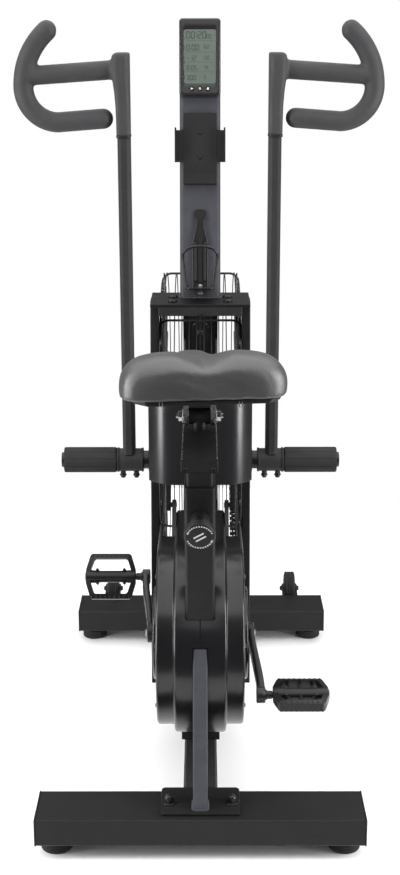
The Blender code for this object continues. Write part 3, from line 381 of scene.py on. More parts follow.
def ramp(material, source, low, high):
    """Map a texture's value to a span of numbers."""
    node = material.node_tree.nodes.new("ShaderNodeMapRange")
    for name, value in (("From Min", 0.3), ("From Max", 0.7), ("To Min", low), ("To Max", high)):
        node.inputs[name].default_value = value
    material.node_tree.links.new(source, node.inputs["Value"])
    return node.outputs["Result"]


def mottle(material, shader, colour, spread, scale):
    """Vary the colour softly over the surface between a darker and a lighter tone."""
    source = texture(material, NOISE, scale, Detail=6.0, Roughness=0.65)
    mix = material.node_tree.nodes.new("ShaderNodeMix")
    mix.data_type = "RGBA"
    mix.inputs["A"].default_value = (*[channel * (1.0 - spread) for channel in colour], 1.0)
    mix.inputs["B"].default_value = (*[channel * (1.0 + spread) for channel in colour], 1.0)
    material.node_tree.links.new(ramp(material, source, 0.0, 1.0), mix.inputs["Factor"])
    material.node_tree.links.new(mix.outputs["Result"], shader.inputs["Base Color"])


def gloss_patches(material, shader, low, high, scale):
    """Vary the roughness, as handling and dust do."""
    source = texture(material, NOISE, scale, Detail=5.0, Roughness=0.6)
    material.node_tree.links.new(ramp(material, source, low, high), shader.inputs["Roughness"])


def relief(material, shader, layers):
    """Stack bump layers, each of a texture, its scale, its depth in metres and its settings."""
    tree = material.node_tree
    normal = None
    for kind, scale, depth, settings in layers:
        bump = tree.nodes.new("ShaderNodeBump")
        bump.inputs["Strength"].default_value = 1.0
        bump.inputs["Distance"].default_value = depth
        tree.links.new(texture(material, kind, scale, **settings), bump.inputs["Height"])
        if normal:
            tree.links.new(normal, bump.inputs["Normal"])
        normal = bump.outputs["Normal"]
        tree.links.new(normal, shader.inputs["Normal"])


def finish(name, colour, sockets, mottling, patches, layers=()):
    """A Principled material: constant sockets, mottled colour, uneven gloss and layers of relief.

    mottling is (spread of the colour, scale) and patches is (lowest roughness, highest, scale).
    """
    material = bpy.data.materials.new(name)
    material.use_nodes = True
    material.diffuse_color = (*colour, 1.0)
    shader = material.node_tree.nodes["Principled BSDF"]
    shader.inputs["Base Color"].default_value = (*colour, 1.0)
    for socket, value in sockets.items():
        shader.inputs[socket].default_value = value
    mottle(material, shader, colour, *mottling)
    if patches:
        gloss_patches(material, shader, *patches)
    relief(material, shader, layers)
    return material


def powder_coat(name, colour):
    """Baked powder paint: fine orange peel, a low sheen and faint mottling."""
    sockets = {"Roughness": 0.46, "Specular IOR Level": 0.16}
    peel = (NOISE, 900.0, 0.00009, {"Detail": 2.0})
    grit = (CELLS, 1700.0, 0.00004, {})
    return finish(name, colour, sockets, (0.1, 45.0), (0.4, 0.52, 14.0), (peel, grit))


def glossy_shell(name, colour):
    """Semi-gloss moulded shell, with the slight waviness of a large moulding."""
    sockets = {"Roughness": 0.3, "Specular IOR Level": 0.18, "Coat Weight": 0.55, "Coat Roughness": 0.2}
    waves = (NOISE, 30.0, 0.0004, {"Detail": 1.0})
    grain = (NOISE, 1300.0, 0.00003, {"Detail": 1.0})
    return finish(name, colour, sockets, (0.07, 22.0), (0.26, 0.36, 9.0), (waves, grain))


def grained_plastic(name, colour):
    """Moulded plastic with a fine spark-eroded grain."""
    sockets = {"Roughness": 0.52, "Specular IOR Level": 0.28}
    grain = (CELLS, 1150.0, 0.00012, {})
    wave = (NOISE, 260.0, 0.00008, {"Detail": 3.0})
    return finish(name, colour, sockets, (0.1, 60.0), (0.46, 0.58, 25.0), (grain, wave))


def foam(name, colour):
    """Dense closed-cell foam: matt, finely pitted, a little lighter where it is rubbed."""
    sockets = {"Roughness": 0.62, "Specular IOR Level": 0.42, "Sheen Weight": 0.05, "Sheen Roughness": 0.45}
    cells = (CELLS, 780.0, 0.00028, {})
    lumps = (NOISE, 210.0, 0.0002, {"Detail": 4.0})
    return finish(name, colour, sockets, (0.13, 38.0), (0.54, 0.7, 30.0), (cells, lumps))


def leatherette(name, colour):
    """Soft synthetic leather: pebbled grain, fine creases and a gentle sheen."""
    sockets = {"Roughness": 0.44, "Specular IOR Level": 0.95, "Sheen Weight": 0.05, "Sheen Roughness": 0.35}
    pebbles = (CELLS, 620.0, 0.00022, {})
    creases = (NOISE, 120.0, 0.00022, {"Detail": 6.0, "Distortion": 0.8})
    return finish(name, colour, sockets, (0.08, 26.0), (0.38, 0.5, 18.0), (pebbles, creases))


def rubber(name, colour):
    """Moulded rubber with a dusty matt skin."""
    sockets = {"Roughness": 0.72, "Specular IOR Level": 0.28}
    grain = (NOISE, 700.0, 0.00018, {"Detail": 4.0})
    return finish(name, colour, sockets, (0.15, 70.0), (0.62, 0.8, 40.0), (grain,))


def plated_steel(name, colour):
    """Zinc or chrome plate, with faint brushing and small tarnish."""
    sockets = {"Roughness": 0.26, "Metallic": 1.0, "Anisotropic": 0.3}
    brush = (NOISE, 2400.0, 0.00003, {"Detail": 2.0})
    return finish(name, colour, sockets, (0.09, 80.0), (0.18, 0.38, 160.0), (brush,))


def gloss_paint(name, colour):
    """Black enamel on steel wire, cranks and brackets."""
    sockets = {"Roughness": 0.36, "Specular IOR Level": 0.3, "Coat Weight": 0.2, "Coat Roughness": 0.22}
    peel = (NOISE, 800.0, 0.00006, {"Detail": 2.0})
    return finish(name, colour, sockets, (0.12, 50.0), (0.3, 0.44, 35.0), (peel,))


def display_glass(name, colour):
    """The reflective ground of a liquid crystal display, with its faint pixel grid."""
    sockets = {"Roughness": 0.34, "Coat Weight": 0.3, "Coat Roughness": 0.06}
    return finish(name, colour, sockets, (0.06, 30.0), None, ((CELLS, 1500.0, 0.00002, {}),))


def print_ink(name, colour):
    """Printed marks, slightly uneven in cover."""
    grain = (NOISE, 1500.0, 0.00002, {"Detail": 2.0})
    return finish(name, colour, {"Roughness": 0.55}, (0.09, 400.0), None, (grain,))


def floor_paint(name, colour):
    """A pale studio floor."""
    return finish(name, colour, {"Roughness": 0.75}, (0.006, 3.0), (0.7, 0.8, 5.0))


FINISH = {
    "powder_black": powder_coat("powder_black", (0.012, 0.0115, 0.012)),
    "powder_grey": powder_coat("powder_grey", (0.052, 0.053, 0.062)),
    "gloss_shell": glossy_shell("gloss_shell", (0.0035, 0.0035, 0.0045)),
    "matte_plastic": grained_plastic("matte_plastic", (0.01, 0.01, 0.01)),
    "foam_grip": foam("foam_grip", (0.031, 0.0305, 0.0325)),
    "leatherette": leatherette("leatherette", (0.034, 0.034, 0.035)),
    "rubber": rubber("rubber", (0.014, 0.014, 0.014)),
    "bright_steel": plated_steel("bright_steel", (0.45, 0.45, 0.44)),
    "black_steel": gloss_paint("black_steel", (0.008, 0.008, 0.008)),
    "console_shell": glossy_shell("console_shell", (0.01, 0.01, 0.011)),
}
# The glossy shell made lighter and bluer for the leg shield: a painted sheen.
SHIELD_PAINTED_SHEEN = glossy_shell("gloss_shell_painted_sheen", (0.0085, 0.0085, 0.01))
# Black powder coat made lighter: painted light and highlights on the arms, base tube, angle bar, guard wires
# and bottle cage rails.
PAINTED_LIGHT_COAT = powder_coat("powder_black_painted_light", (0.027, 0.027, 0.028))
PEDAL_COAT = gloss_paint("pedal_black", (0.0028, 0.0028, 0.0028))
DISPLAY = display_glass("display_ground", (0.06, 0.082, 0.066))
SEGMENT = print_ink("display_segment", (0.022, 0.032, 0.026))
INK = print_ink("white_print", (0.62, 0.62, 0.6))


# ---------------------------------------------------------------- pieces


def placed(name, data):
    """A new object in the scene."""
    item = bpy.data.objects.new(name, data)
    bpy.context.scene.collection.objects.link(item)
    return item


def tidy_mesh(mesh, dissolve=False):
    """Join double points, face outwards and drop the edges inside flat faces if asked."""
    work = bmesh.new()
    work.from_mesh(mesh)
    bmesh.ops.remove_doubles(work, verts=work.verts, dist=0.00002)
    if dissolve:
        bmesh.ops.dissolve_limit(work, angle_limit=math.radians(0.6), verts=work.verts, edges=work.edges)
    bmesh.ops.recalc_face_normals(work, faces=work.faces)
    work.to_mesh(mesh)
    work.free()


def mesh_of(name, shape):
    shape = Shape(shape)
    mesh = bpy.data.meshes.new(name)
    mesh.from_pydata(shape.points, [], shape.faces)
    tidy_mesh(mesh)
    return mesh


def soften(item, width, segments=3, angle=30.0):
    """Round the hard edges."""
    bevel = item.modifiers.new("edges", "BEVEL")
    bevel.width = width
    bevel.segments = segments
    bevel.limit_method = "ANGLE"
    bevel.angle_limit = math.radians(angle)
    bevel.harden_normals = True


def dress(name, mesh, body, slot, stands_for=(), material=None, angle=35.0):
    """One visible piece: it rides on a body, wears a finish and may stand for CAD nodes."""
    item = placed(name, mesh)
    mesh.materials.clear()
    mesh.materials.append(material or FINISH[slot])
    mesh.shade_smooth()
    mesh.set_sharp_from_angle(angle=math.radians(angle))
    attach(item, body)
    if stands_for:
        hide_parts(*stands_for)
    return item


def piece(name, shape, body, slot, stands_for=(), material=None, angle=35.0):
    """A visible piece made of a shape."""
    return dress(name, mesh_of(name, shape), body, slot, stands_for, material, angle)


def refined(node, bevel, segments=3, angle=30.0, material=None):
    """The CAD node's own shape with rounded edges, standing for it."""
    mesh = frame["nodes"][node].data.copy()
    mesh.name = f"{node}_finished"
    tidy_mesh(mesh, True)
    item = dress(f"{node}_finished", mesh, BODY_OF[node], SLOT_OF[node], (node,), material)
    soften(item, bevel, segments, angle)


def cross_screws(name, places, out, size, body="frame", slot="black_steel"):
    """Equal cross-head screws at several places, as one piece."""
    piece(name, Shape(*[cross_screw(at, out, size) for at in places]), body, slot)


def temporary(shape, name="temporary"):
    return placed(name, mesh_of(name, shape))


def evaluated_mesh(item):
    """The mesh that an object's modifiers give, in place of the object."""
    bpy.context.view_layer.update()
    graph = bpy.context.evaluated_depsgraph_get()
    mesh = bpy.data.meshes.new_from_object(item.evaluated_get(graph))
    bpy.data.objects.remove(item)
    return mesh


def smoothed(item, rounds):
    """Even an object's surface out and return its mesh."""
    smooth = item.modifiers.new("smooth", "SMOOTH")
    smooth.factor = 0.5
    smooth.iterations = rounds
    return evaluated_mesh(item)


def fused(shape, voxel, rounds):
    """Overlapping solids melted into one smooth skin."""
    item = temporary(shape)
    remesh = item.modifiers.new("fuse", "REMESH")
    remesh.mode = "VOXEL"
    remesh.voxel_size = voxel
    return smoothed(item, rounds)


def carve(item, cutters):
    """Cut solids out of an object and return its mesh."""
    tools = [temporary(cutter, "cutter") for cutter in cutters]
    for tool in tools:
        modifier = item.modifiers.new("cut", "BOOLEAN")
        modifier.operation = "DIFFERENCE"
        modifier.object = tool
    mesh = evaluated_mesh(item)
    for tool in tools:
        bpy.data.objects.remove(tool)
    return mesh


# ---------------------------------------------------------------- floor frame


BASE_HALF_WIDTH = 0.03
WELD_TOP = 0.0795
CROSS_TUBE_Y = -0.034
CROSS_TUBE_Z = 0.1145
BRACE_DEPTH = 0.087
BRACE_PLATE = 0.005


def build_floor_frame():
    refined("rear_stabilizer", 0.0025)
    refined("front_stabilizer", 0.0018)
    # The lightened coat paints light on the base tube, against the shade of the housing.
    refined("base_tube", 0.0022, material=PAINTED_LIGHT_COAT)
    refined("bottom_bracket_mount", 0.001)
    for row in ("rear", "front"):
        for side in SIDES:
            refined(f"end_cap_{row}_{side}", 0.0016)
            build_foot(f"foot_{row}_{side}")
    bottom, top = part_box("base_tube")
    low_weld = bottom.z + 0.003
    beads = Shape()
    for y in (bottom.y, top.y):
        beads.add(weld_bead([(-BASE_HALF_WIDTH, y, low_weld), (-BASE_HALF_WIDTH, y, WELD_TOP),
                             (BASE_HALF_WIDTH, y, WELD_TOP), (BASE_HALF_WIDTH, y, low_weld)], 0.0026))
    piece("base_weld_beads", beads, "frame", "powder_black")
    plugs = Shape()
    for side in SIDES.values():
        at = Vector((side * (top.x - 0.0015), CROSS_TUBE_Y, CROSS_TUBE_Z))
        plugs.add(block(rounded(0.0392, 0.0692, 0.002, 3), at, Y * side, Z, -0.001, 0.0022, 0.0008))
    piece("cross_tube_plugs", plugs, "frame", "matte_plastic")
    collar_at = Vector((0.0, CRANK.y + 0.048, 0.0))
    collar = block(rounded(0.068, 0.074, 0.006), collar_at, X, Y, 0.099, 0.1035, 0.001)
    piece("mount_foot_collar", collar, "frame", "powder_black")


def build_foot(node):
    """A levelling foot: ribbed rubber pad, jam nut and threaded stud."""
    centre = middle_of(node)
    centre.z = low_of(node).z
    radius = size_of(node).x / 2.0
    profile = [(0.0, radius - 0.003), (0.0008, radius - 0.0012), (0.0025, radius)]
    for groove in range(3):
        for along, depth in ((0.0, 0.0), (0.0004, 0.0008), (0.001, 0.0008), (0.0014, 0.0)):
            profile.append((0.0065 + groove * 0.0035 + along, radius - depth))
    profile += [(0.0175, radius), (0.019, radius - 0.001), (0.0196, radius - 0.003), (0.02, 0.013)]
    piece(f"{node}_pad", turned(profile, centre, Z, 56), BODY_OF[node], "rubber", (node,))
    stud = Shape(turned([(0.0195, 0.01), (0.024, 0.01), (0.0248, 0.009)], centre, Z, 6))
    thread = []
    for turn in range(5):
        z = 0.024 + turn * 0.0012
        thread += [(z, 0.0044), (z + 0.0006, 0.005)]
    stud.add(turned(thread, centre, Z, 20))
    piece(f"{node}_stud", stud, BODY_OF[node], "bright_steel")


def build_wheels():
    """Grooved tyres, each on a bolt with a head at both ends."""
    for name in SIDES:
        node = f"transport_wheel_{name}"
        centre = middle_of(node)
        radius = size_of(node).z / 2.0
        half = size_of(node).x / 2.0
        profile = [(0.0, 0.005), (0.0, 0.011), (0.0018, 0.0125), (0.003, 0.015), (0.003, 0.027),
                   (0.0012, 0.029), (0.0004, 0.033), (0.0016, radius - 0.0022), (0.004, radius)]
        mirror = [(2.0 * half - along, size) for along, size in reversed(profile)]
        tread = []
        for groove in (-0.0045, 0.0, 0.0045):
            for along, depth in ((-0.001, 0.0), (-0.0005, 0.0012), (0.0005, 0.0012), (0.001, 0.0)):
                tread.append((half + groove + along, radius - depth))
        tyre = turned(profile + tread + mirror, centre - X * half, X, 64)
        piece(f"{node}_tyre", tyre, BODY_OF[node], "rubber", (node,))
        bolt = Shape()
        for way in BOTH_WAYS:
            bolt.add(hexagon_head(centre + X * way * (half + 0.0047), X * way, 0.0055, 0.005))
        piece(f"wheel_bolt_{name}", bolt, "frame", "black_steel")


def build_brace():
    """The strut from the rear floor bar up to the drive housing, on its bolted plate."""
    low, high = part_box("rear_brace")
    plate_top = low.z + BRACE_PLATE
    middle = Vector((0.0, low.y + BRACE_DEPTH / 2.0, low.z))
    plate = block(rounded(high.x - low.x, BRACE_DEPTH, 0.007), middle, X, Y, 0.0, BRACE_PLATE, 0.0008)
    piece("rear_brace_plate", plate, "frame", "powder_grey", ("rear_brace",), FINISH["powder_black"])
    foot = Vector((0.0, low.y + 0.0265, plate_top - 0.002))
    head = Vector((0.0, high.y - 0.0155, high.z - 0.0035))
    strut = bar(foot, head, rounded(0.025, 0.032, 0.003), 0.0015, True)
    piece("rear_brace_strut", strut, "frame", "powder_grey", ("rear_brace",), angle=40.0)
    skirt = [(a * 1.04, foot.y + b * 1.04, plate_top + 0.0004) for a, b in rounded(0.025, 0.033, 0.004)]
    piece("brace_weld_bead", weld_bead(skirt, 0.0021, True), "frame", "powder_grey")
    nuts = Shape()
    nut_y = middle_of("rear_stabilizer").y + 0.002
    for side in SIDES.values():
        nuts.add(acorn_nut(Vector((side * 0.0545, nut_y, plate_top)), Z, 0.0088))
    piece("brace_cap_nuts", nuts, "frame", "black_steel")


# ---------------------------------------------------------------- upper frame


def build_upper_frame():
    for side in SIDES:
        refined(f"upright_{side}", 0.0012)
        refined(f"front_leg_{side}", 0.001)
    refined("mast_bridge", 0.0012)
    refined("seat_tube", 0.0014)
    refined("fan_axle", 0.0006)
    low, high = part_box("mast_bridge")
    places = [Vector((side * 0.0526, low.y + inward, high.z + 0.0006))
              for side in SIDES.values() for inward in (0.027, 0.072)]
    cross_screws("bridge_screws", places, Z, 0.0088)
    foot = [MAST_FOOT + Vector((a, b / MAST_UP.z, 0.0008)) for a, b in rounded(0.08, 0.042, 0.007)]
    piece("mast_weld_bead", weld_bead(foot, 0.0022, True), "frame", "powder_grey")
    nuts = Shape()
    for side in SIDES.values():
        at = Vector((side * high_of("front_leg_right").x, FAN.y, FAN.z))
        nuts.add(hexagon_head(at, X * side, 0.01, 0.007))
    piece("fan_axle_nuts", nuts, "frame", "bright_steel")
    build_crossbar()


def build_crossbar():
    """The angle bar under the bridge, in front of the guard, and the strap that ties the guard to it."""
    low = low_of("mast_bridge")
    width = 2.0 * (high_of("upright_right").x - 0.018)
    middle = Vector((0.0, low.y - 0.0002, low.z + 0.006))
    shape = block(centred(width, 0.016), middle, X, Z, -0.002, 0.0012, 0.0006)
    # The lightened coat paints a highlight on the angle bar.
    soften(piece("bridge_angle_bar", shape, "frame", "powder_black", material=PAINTED_LIGHT_COAT), 0.0011)
    rim = size_of("fan_guard_rim").z / 2.0 + 0.0016
    course = [middle + Vector((0.0, 0.001, -0.004)), middle + Vector((0.0, 0.0002, -0.04))]
    for step in range(9):
        z = middle.z - 0.098 - 0.01 * step
        course.append(Vector((0.0, FAN.y - math.sqrt(rim * rim - (z - FAN.z) ** 2), z)))
    piece("guard_strap", tube(course, 0.0065, 10, squeeze=0.22), "frame", "black_steel")
    bolt = hexagon_head(middle + Vector((0.0, -0.001, -0.04)), -Y, 0.0055, 0.0045)
    piece("guard_strap_bolt", bolt, "frame", "black_steel")


def build_mast():
    width = size_of("console_mast").x
    depth = 2.0 * MAST_HALF_DEPTH
    length = (high_of("console_mast").z - MAST_FOOT.z - MAST_HALF_DEPTH * abs(MAST_OUT.z)) / MAST_UP.z
    top = MAST_FOOT + MAST_UP * length
    shape = bar(MAST_FOOT, top, rounded(width, depth, 0.0085, 7), 0.0, True)
    piece("console_mast_tube", shape, "frame", "powder_grey", ("console_mast",), angle=50.0)
    cap = block(rounded(width - 0.001, depth - 0.001, 0.008, 7), top, X, -MAST_OUT, -0.0005, 0.003, 0.0012)
    piece("mast_end_cap", cap, "frame", "matte_plastic")


# ---------------------------------------------------------------- console and holders


CASE_BOTTOM = 0.3765
CASE_TOP = 0.5205
CASE_DEPTH = 0.026
SCREEN_WIDTH = 0.058
SCREEN_HEIGHT = 0.101
SCREEN_MIDDLE = 0.4492
SEGMENTS = {
    "0": "abcdef", "1": "bc", "2": "abdeg", "3": "abcdg", "4": "bcfg", "5": "acdfg", "6": "acdefg",
    "8": "abcdefg", "-": "g",
}
# Where each bar of a digit stands, in shares of its width and height, and whether the bar lies level.
BARS = {
    "a": (0.5, 1.0, True), "g": (0.5, 0.5, True), "d": (0.5, 0.0, True), "f": (0.0, 0.75, False),
    "b": (1.0, 0.75, False), "e": (0.0, 0.25, False), "c": (1.0, 0.25, False),
}
# Generic readings: text, height up the mast and height of the digits, in two columns.
LEFT_READINGS = (("00:20", 0.483, 0.012), ("0:00", 0.461, 0.01), ("-12", 0.442, 0.0085),
                 ("8:05", 0.424, 0.0085), ("300", 0.406, 0.0085))
RIGHT_READINGS = (("100", 0.483, 0.007), ("62", 0.464, 0.007), ("0:0", 0.444, 0.006),
                  ("45", 0.426, 0.006), ("0", 0.408, 0.006))


def digits(text, x, height, size, out):
    """Seven-segment digits standing on the mast's slope, as thin raised bars."""
    shape = Shape()
    stroke = size * 0.13
    wide = size * 0.5
    for letter in text:
        if letter == ":":
            dot = rounded(stroke, stroke, stroke * 0.2, 1)
            for rise in (size * 0.3, size * 0.7):
                shape.add(printed(dot, on_mast(x + stroke * 0.6, height + rise, out), MAST_UP))
            x += stroke * 2.4
            continue
        for key in SEGMENTS[letter]:
            across, rise, level = BARS[key]
            span = (wide - stroke * 0.5, stroke) if level else (stroke, size / 2.0 - stroke * 0.5)
            shape.add(printed(centred(*span), on_mast(x + wide * across, height + size * rise, out), MAST_UP))
        x += wide + stroke * 1.8
    return shape


def build_console():
    """The display case: rounded bezel, sunk display, three buttons with generic signs."""
    width = size_of("console_case").x
    middle = (CASE_BOTTOM + CASE_TOP) / 2.0
    tall = CASE_TOP - CASE_BOTTOM
    centre = on_mast(0.0, middle)
    screen_centre = centre + MAST_UP * (SCREEN_MIDDLE - middle)
    rings = []
    for out, inset in ((0.0005, 0.002), (0.0015, 0.0005), (0.003, 0.0), (CASE_DEPTH - 0.004, 0.0),
                       (CASE_DEPTH - 0.0015, 0.0007), (CASE_DEPTH - 0.0002, 0.0026), (CASE_DEPTH, 0.0045)):
        rings.append([centre + X * a * (1.0 - 2.0 * inset / width) + MAST_UP * b * (1.0 - 2.0 * inset / tall)
                      + MAST_OUT * out for a, b in rounded(width, tall, 0.006, 6)])
    for out, grow in ((CASE_DEPTH, 0.0018), (CASE_DEPTH - 0.0004, 0.001), (CASE_DEPTH - 0.0016, 0.0)):
        rings.append([screen_centre + X * a * (1.0 + 2.0 * grow / SCREEN_WIDTH)
                      + MAST_UP * b * (1.0 + 2.0 * grow / SCREEN_HEIGHT) + MAST_OUT * out
                      for a, b in rounded(SCREEN_WIDTH, SCREEN_HEIGHT, 0.003, 6)])
    piece("console_housing", skin(rings), "frame", "console_shell", ("console_case",), angle=50.0)
    glass = block(rounded(SCREEN_WIDTH - 0.0006, SCREEN_HEIGHT - 0.0006, 0.003, 6),
                  screen_centre + MAST_OUT * (CASE_DEPTH - 0.0012), X, MAST_UP, -0.0002, 0.0002)
    piece("console_display", glass, "frame", "console_shell", material=DISPLAY)
    marks = Shape()
    out = CASE_DEPTH - 0.0009
    for x, readings in ((-0.025, LEFT_READINGS), (0.008, RIGHT_READINGS)):
        for text, height, size in readings:
            marks.add(digits(text, x, height, size, out))
    for height in (0.479, 0.4575, 0.439, 0.421):
        marks.add(printed(centred(0.053, 0.00036), on_mast(0.0, height, out), MAST_UP))
    piece("display_segments", marks, "frame", "console_shell", material=SEGMENT)
    places = [on_mast(a, middle + b, 0.0004) for a in (-0.03, 0.03) for b in (-0.058, 0.062)]
    cross_screws("console_back_screws", places, -MAST_OUT, 0.0032)
    build_buttons()


def build_buttons():
    """Three round buttons, each with a generic sign: arrow, two bars, square."""
    profile = [(0.0, 0.005), (0.0008, 0.0054), (0.0028, 0.0054), (0.0037, 0.0048), (0.0043, 0.003),
               (0.0045, 0.0)]
    signs = {
        "left": [(0.0, [(-0.0022, -0.0022), (0.0026, 0.0), (-0.0022, 0.0022)])],
        "middle": [(shift, rounded(0.0012, 0.0042, 0.0002, 1)) for shift in (-0.0012, 0.0012)],
        "right": [(0.0, rounded(0.0038, 0.0038, 0.0004, 2))],
    }
    for name, outlines in signs.items():
        node = f"console_button_{name}"
        body = BODY_OF[node]
        at = on_mast(middle_of(node).x, 0.3895, CASE_DEPTH - 0.003)
        piece(f"{node}_cap", turned(profile, at, MAST_OUT, 32), body, "matte_plastic", (node,))
        face = at + MAST_OUT * 0.0047
        sign = Shape()
        for shift, outline in outlines:
            sign.add(block(outline, face + X * shift, X, MAST_UP, -0.0003, 0.0001))
        piece(f"{node}_sign", sign, body, "matte_plastic", material=INK)


def build_holders():
    refined("phone_holder", 0.001)
    places = [on_mast(0.0, height, 0.008) for height in (0.3093, 0.2639)]
    cross_screws("phone_holder_screws", places, MAST_OUT, 0.0038)
    build_bottle_cage()


def build_bottle_cage():
    """A wire hoop with two side wires on a pressed back plate, held by two bright screws."""
    profile = [(0.0145, 0.012), (0.0145, 0.085), (0.013, 0.108), (0.008, 0.13), (0.0068, 0.142),
               (0.011, 0.152), (0.012, 0.158), (0.0095, 0.1635), (0.0045, 0.1655)]
    plate = Shape(block(mirrored(profile), on_mast(0.0, 0.0), X, MAST_UP, 0.0003, 0.0028, 0.0006))
    shelf = [(a, b - 0.028) for a, b in rounded(0.054, 0.058, 0.01, 5)]
    plate.add(block(shelf, on_mast(0.0, 0.015), X, -MAST_OUT, -0.0022, 0.0006, 0.0006))
    piece("bottle_cage_plate", plate, "frame", "black_steel", ("bottle_cage",))
    rails = Shape()
    for side in SIDES.values():
        rail_at = on_mast(side * 0.0086, 0.066)
        rails.add(block(rounded(0.0062, 0.076, 0.003, 4), rail_at, X, MAST_UP, 0.002, 0.0058, 0.0016))
    # The rails wear the lightened coat: painted highlights.
    piece("bottle_cage_rails", rails, "frame", "black_steel", material=PAINTED_LIGHT_COAT)
    rib = block(rounded(0.0078, 0.086, 0.0036, 5), on_mast(0.0, 0.068), X, MAST_UP, 0.002, 0.008, 0.0012)
    piece("bottle_cage_rib", rib, "frame", "black_steel")
    hoop = []
    for step in range(33):
        turn = math.pi * step / 32.0
        lift = math.sin(turn) ** 0.8
        hoop.append(on_mast(0.0325 * math.cos(turn), 0.0735 + 0.019 * lift, 0.06 + 0.012 * lift))
    first, last = [on_mast(side * 0.024, 0.0165, 0.045) for side in (1.0, -1.0)]
    path = [first.lerp(hoop[0], step / 8.0) for step in range(8)] + hoop
    path += [hoop[-1].lerp(last, step / 8.0) for step in range(1, 9)]
    wires = Shape(tube(path, 0.0026, 12))
    for side in SIDES.values():
        wires.add(tube([on_mast(side * a, b, 0.0036) for a, b in profile[:6]], 0.0018, 8))
    piece("bottle_cage_wires", wires, "frame", "black_steel")
    places = [on_mast(0.0, height, 0.003) for height in (0.0056, 0.019)]
    cross_screws("bottle_cage_screws", places, MAST_OUT, 0.0048, slot="bright_steel")


# ---------------------------------------------------------------- fan


HOOPS = 9
FIRST_HOOP = math.radians(5.7)
LOW_HOOP = math.radians(218.0)
HOOP_CORNER = 0.018
HAIRPINS = 36
HAIRPIN_SPREAD = 0.0068
BLADES = 10
BLADE_REACH = 0.285
BLADE_HALF = 0.035
CHAIN_PITCH = 0.0127
RING_TEETH = 48
SPROCKET_TEETH = 15


def build_guard():
    """The wire cage: rim rings, cross hoops with rounded corners and hairpin side wires."""
    rim = size_of("fan_guard_rim").z / 2.0 - 0.002
    face = high_of("fan_guard_right").x - 0.002
    rings = Shape()
    for reach in (0.0072, 0.0215, 0.0357, 0.05, 0.07):
        for x in (-reach, reach):
            rings.add(tube(fan_circle(rim, x, 120), 0.0012, 6, True))
    # The rim wires wear the lightened coat: painted glints.
    piece("guard_rim_wires", rings, "frame", "black_steel", ("fan_guard_rim",), PAINTED_LIGHT_COAT)
    half = [(face, 0.05), (face, 0.12), (face, 0.2), (face, 0.26)]
    half += arc((face - HOOP_CORNER, rim - HOOP_CORNER), HOOP_CORNER, 0.0, math.pi / 2.0, 6)
    hoops = Shape()
    for angle in [FIRST_HOOP + math.tau * index / HOOPS for index in range(HOOPS)] + [LOW_HOOP]:
        path = [around_fan(radius, angle, -x) for x, radius in half]
        path += [around_fan(radius, angle, x) for x, radius in reversed(half)]
        hoops.add(tube(path, 0.0032 if angle == LOW_HOOP else 0.0023, 8))
    # The cross hoops wear the lightened coat: painted glints.
    piece("guard_cross_hoops", hoops, "frame", "black_steel", material=PAINTED_LIGHT_COAT)
    for name, side in SIDES.items():
        wires = Shape()
        for radius, size in ((0.05, 0.0022), (0.13, 0.0016), (0.22, 0.0016), (rim - 0.012, 0.002)):
            wires.add(tube(fan_circle(radius, side * face, 96), size, 7, True))
        for index in range(HAIRPINS):
            wires.add(hairpin(side * (face - 0.0022), rim, math.tau * (index + 0.5) / HAIRPINS))
        piece(f"guard_side_wires_{name}", wires, "frame", "black_steel", (f"fan_guard_{name}",))
        cap = turned([(-0.002, 0.03), (0.0005, 0.036), (0.0018, 0.034), (0.0026, 0.022), (0.0026, 0.014)],
                     Vector((side * (face + 0.0005), FAN.y, FAN.z)), X * side, 48)
        piece(f"guard_hub_plate_{name}", cap, "frame", "black_steel")


def hairpin(x, rim, angle):
    """Two side wires bent from one length, with a loop past the outer ring."""
    leg = [(0.052, HAIRPIN_SPREAD / 0.3)]
    leg += [(radius, HAIRPIN_SPREAD / radius * 0.9) for radius in (0.12, 0.2, 0.27, rim - 0.008)]
    path = [around_fan(radius, angle - turn, x) for radius, turn in leg]
    path += [around_fan(b, angle + a / rim, x) for a, b in arc((0.0, rim - 0.006), 0.0061, math.pi, 0.0, 6)]
    path += [around_fan(radius, angle + turn, x) for radius, turn in reversed(leg)]
    return tube(path, 0.0011, 6)


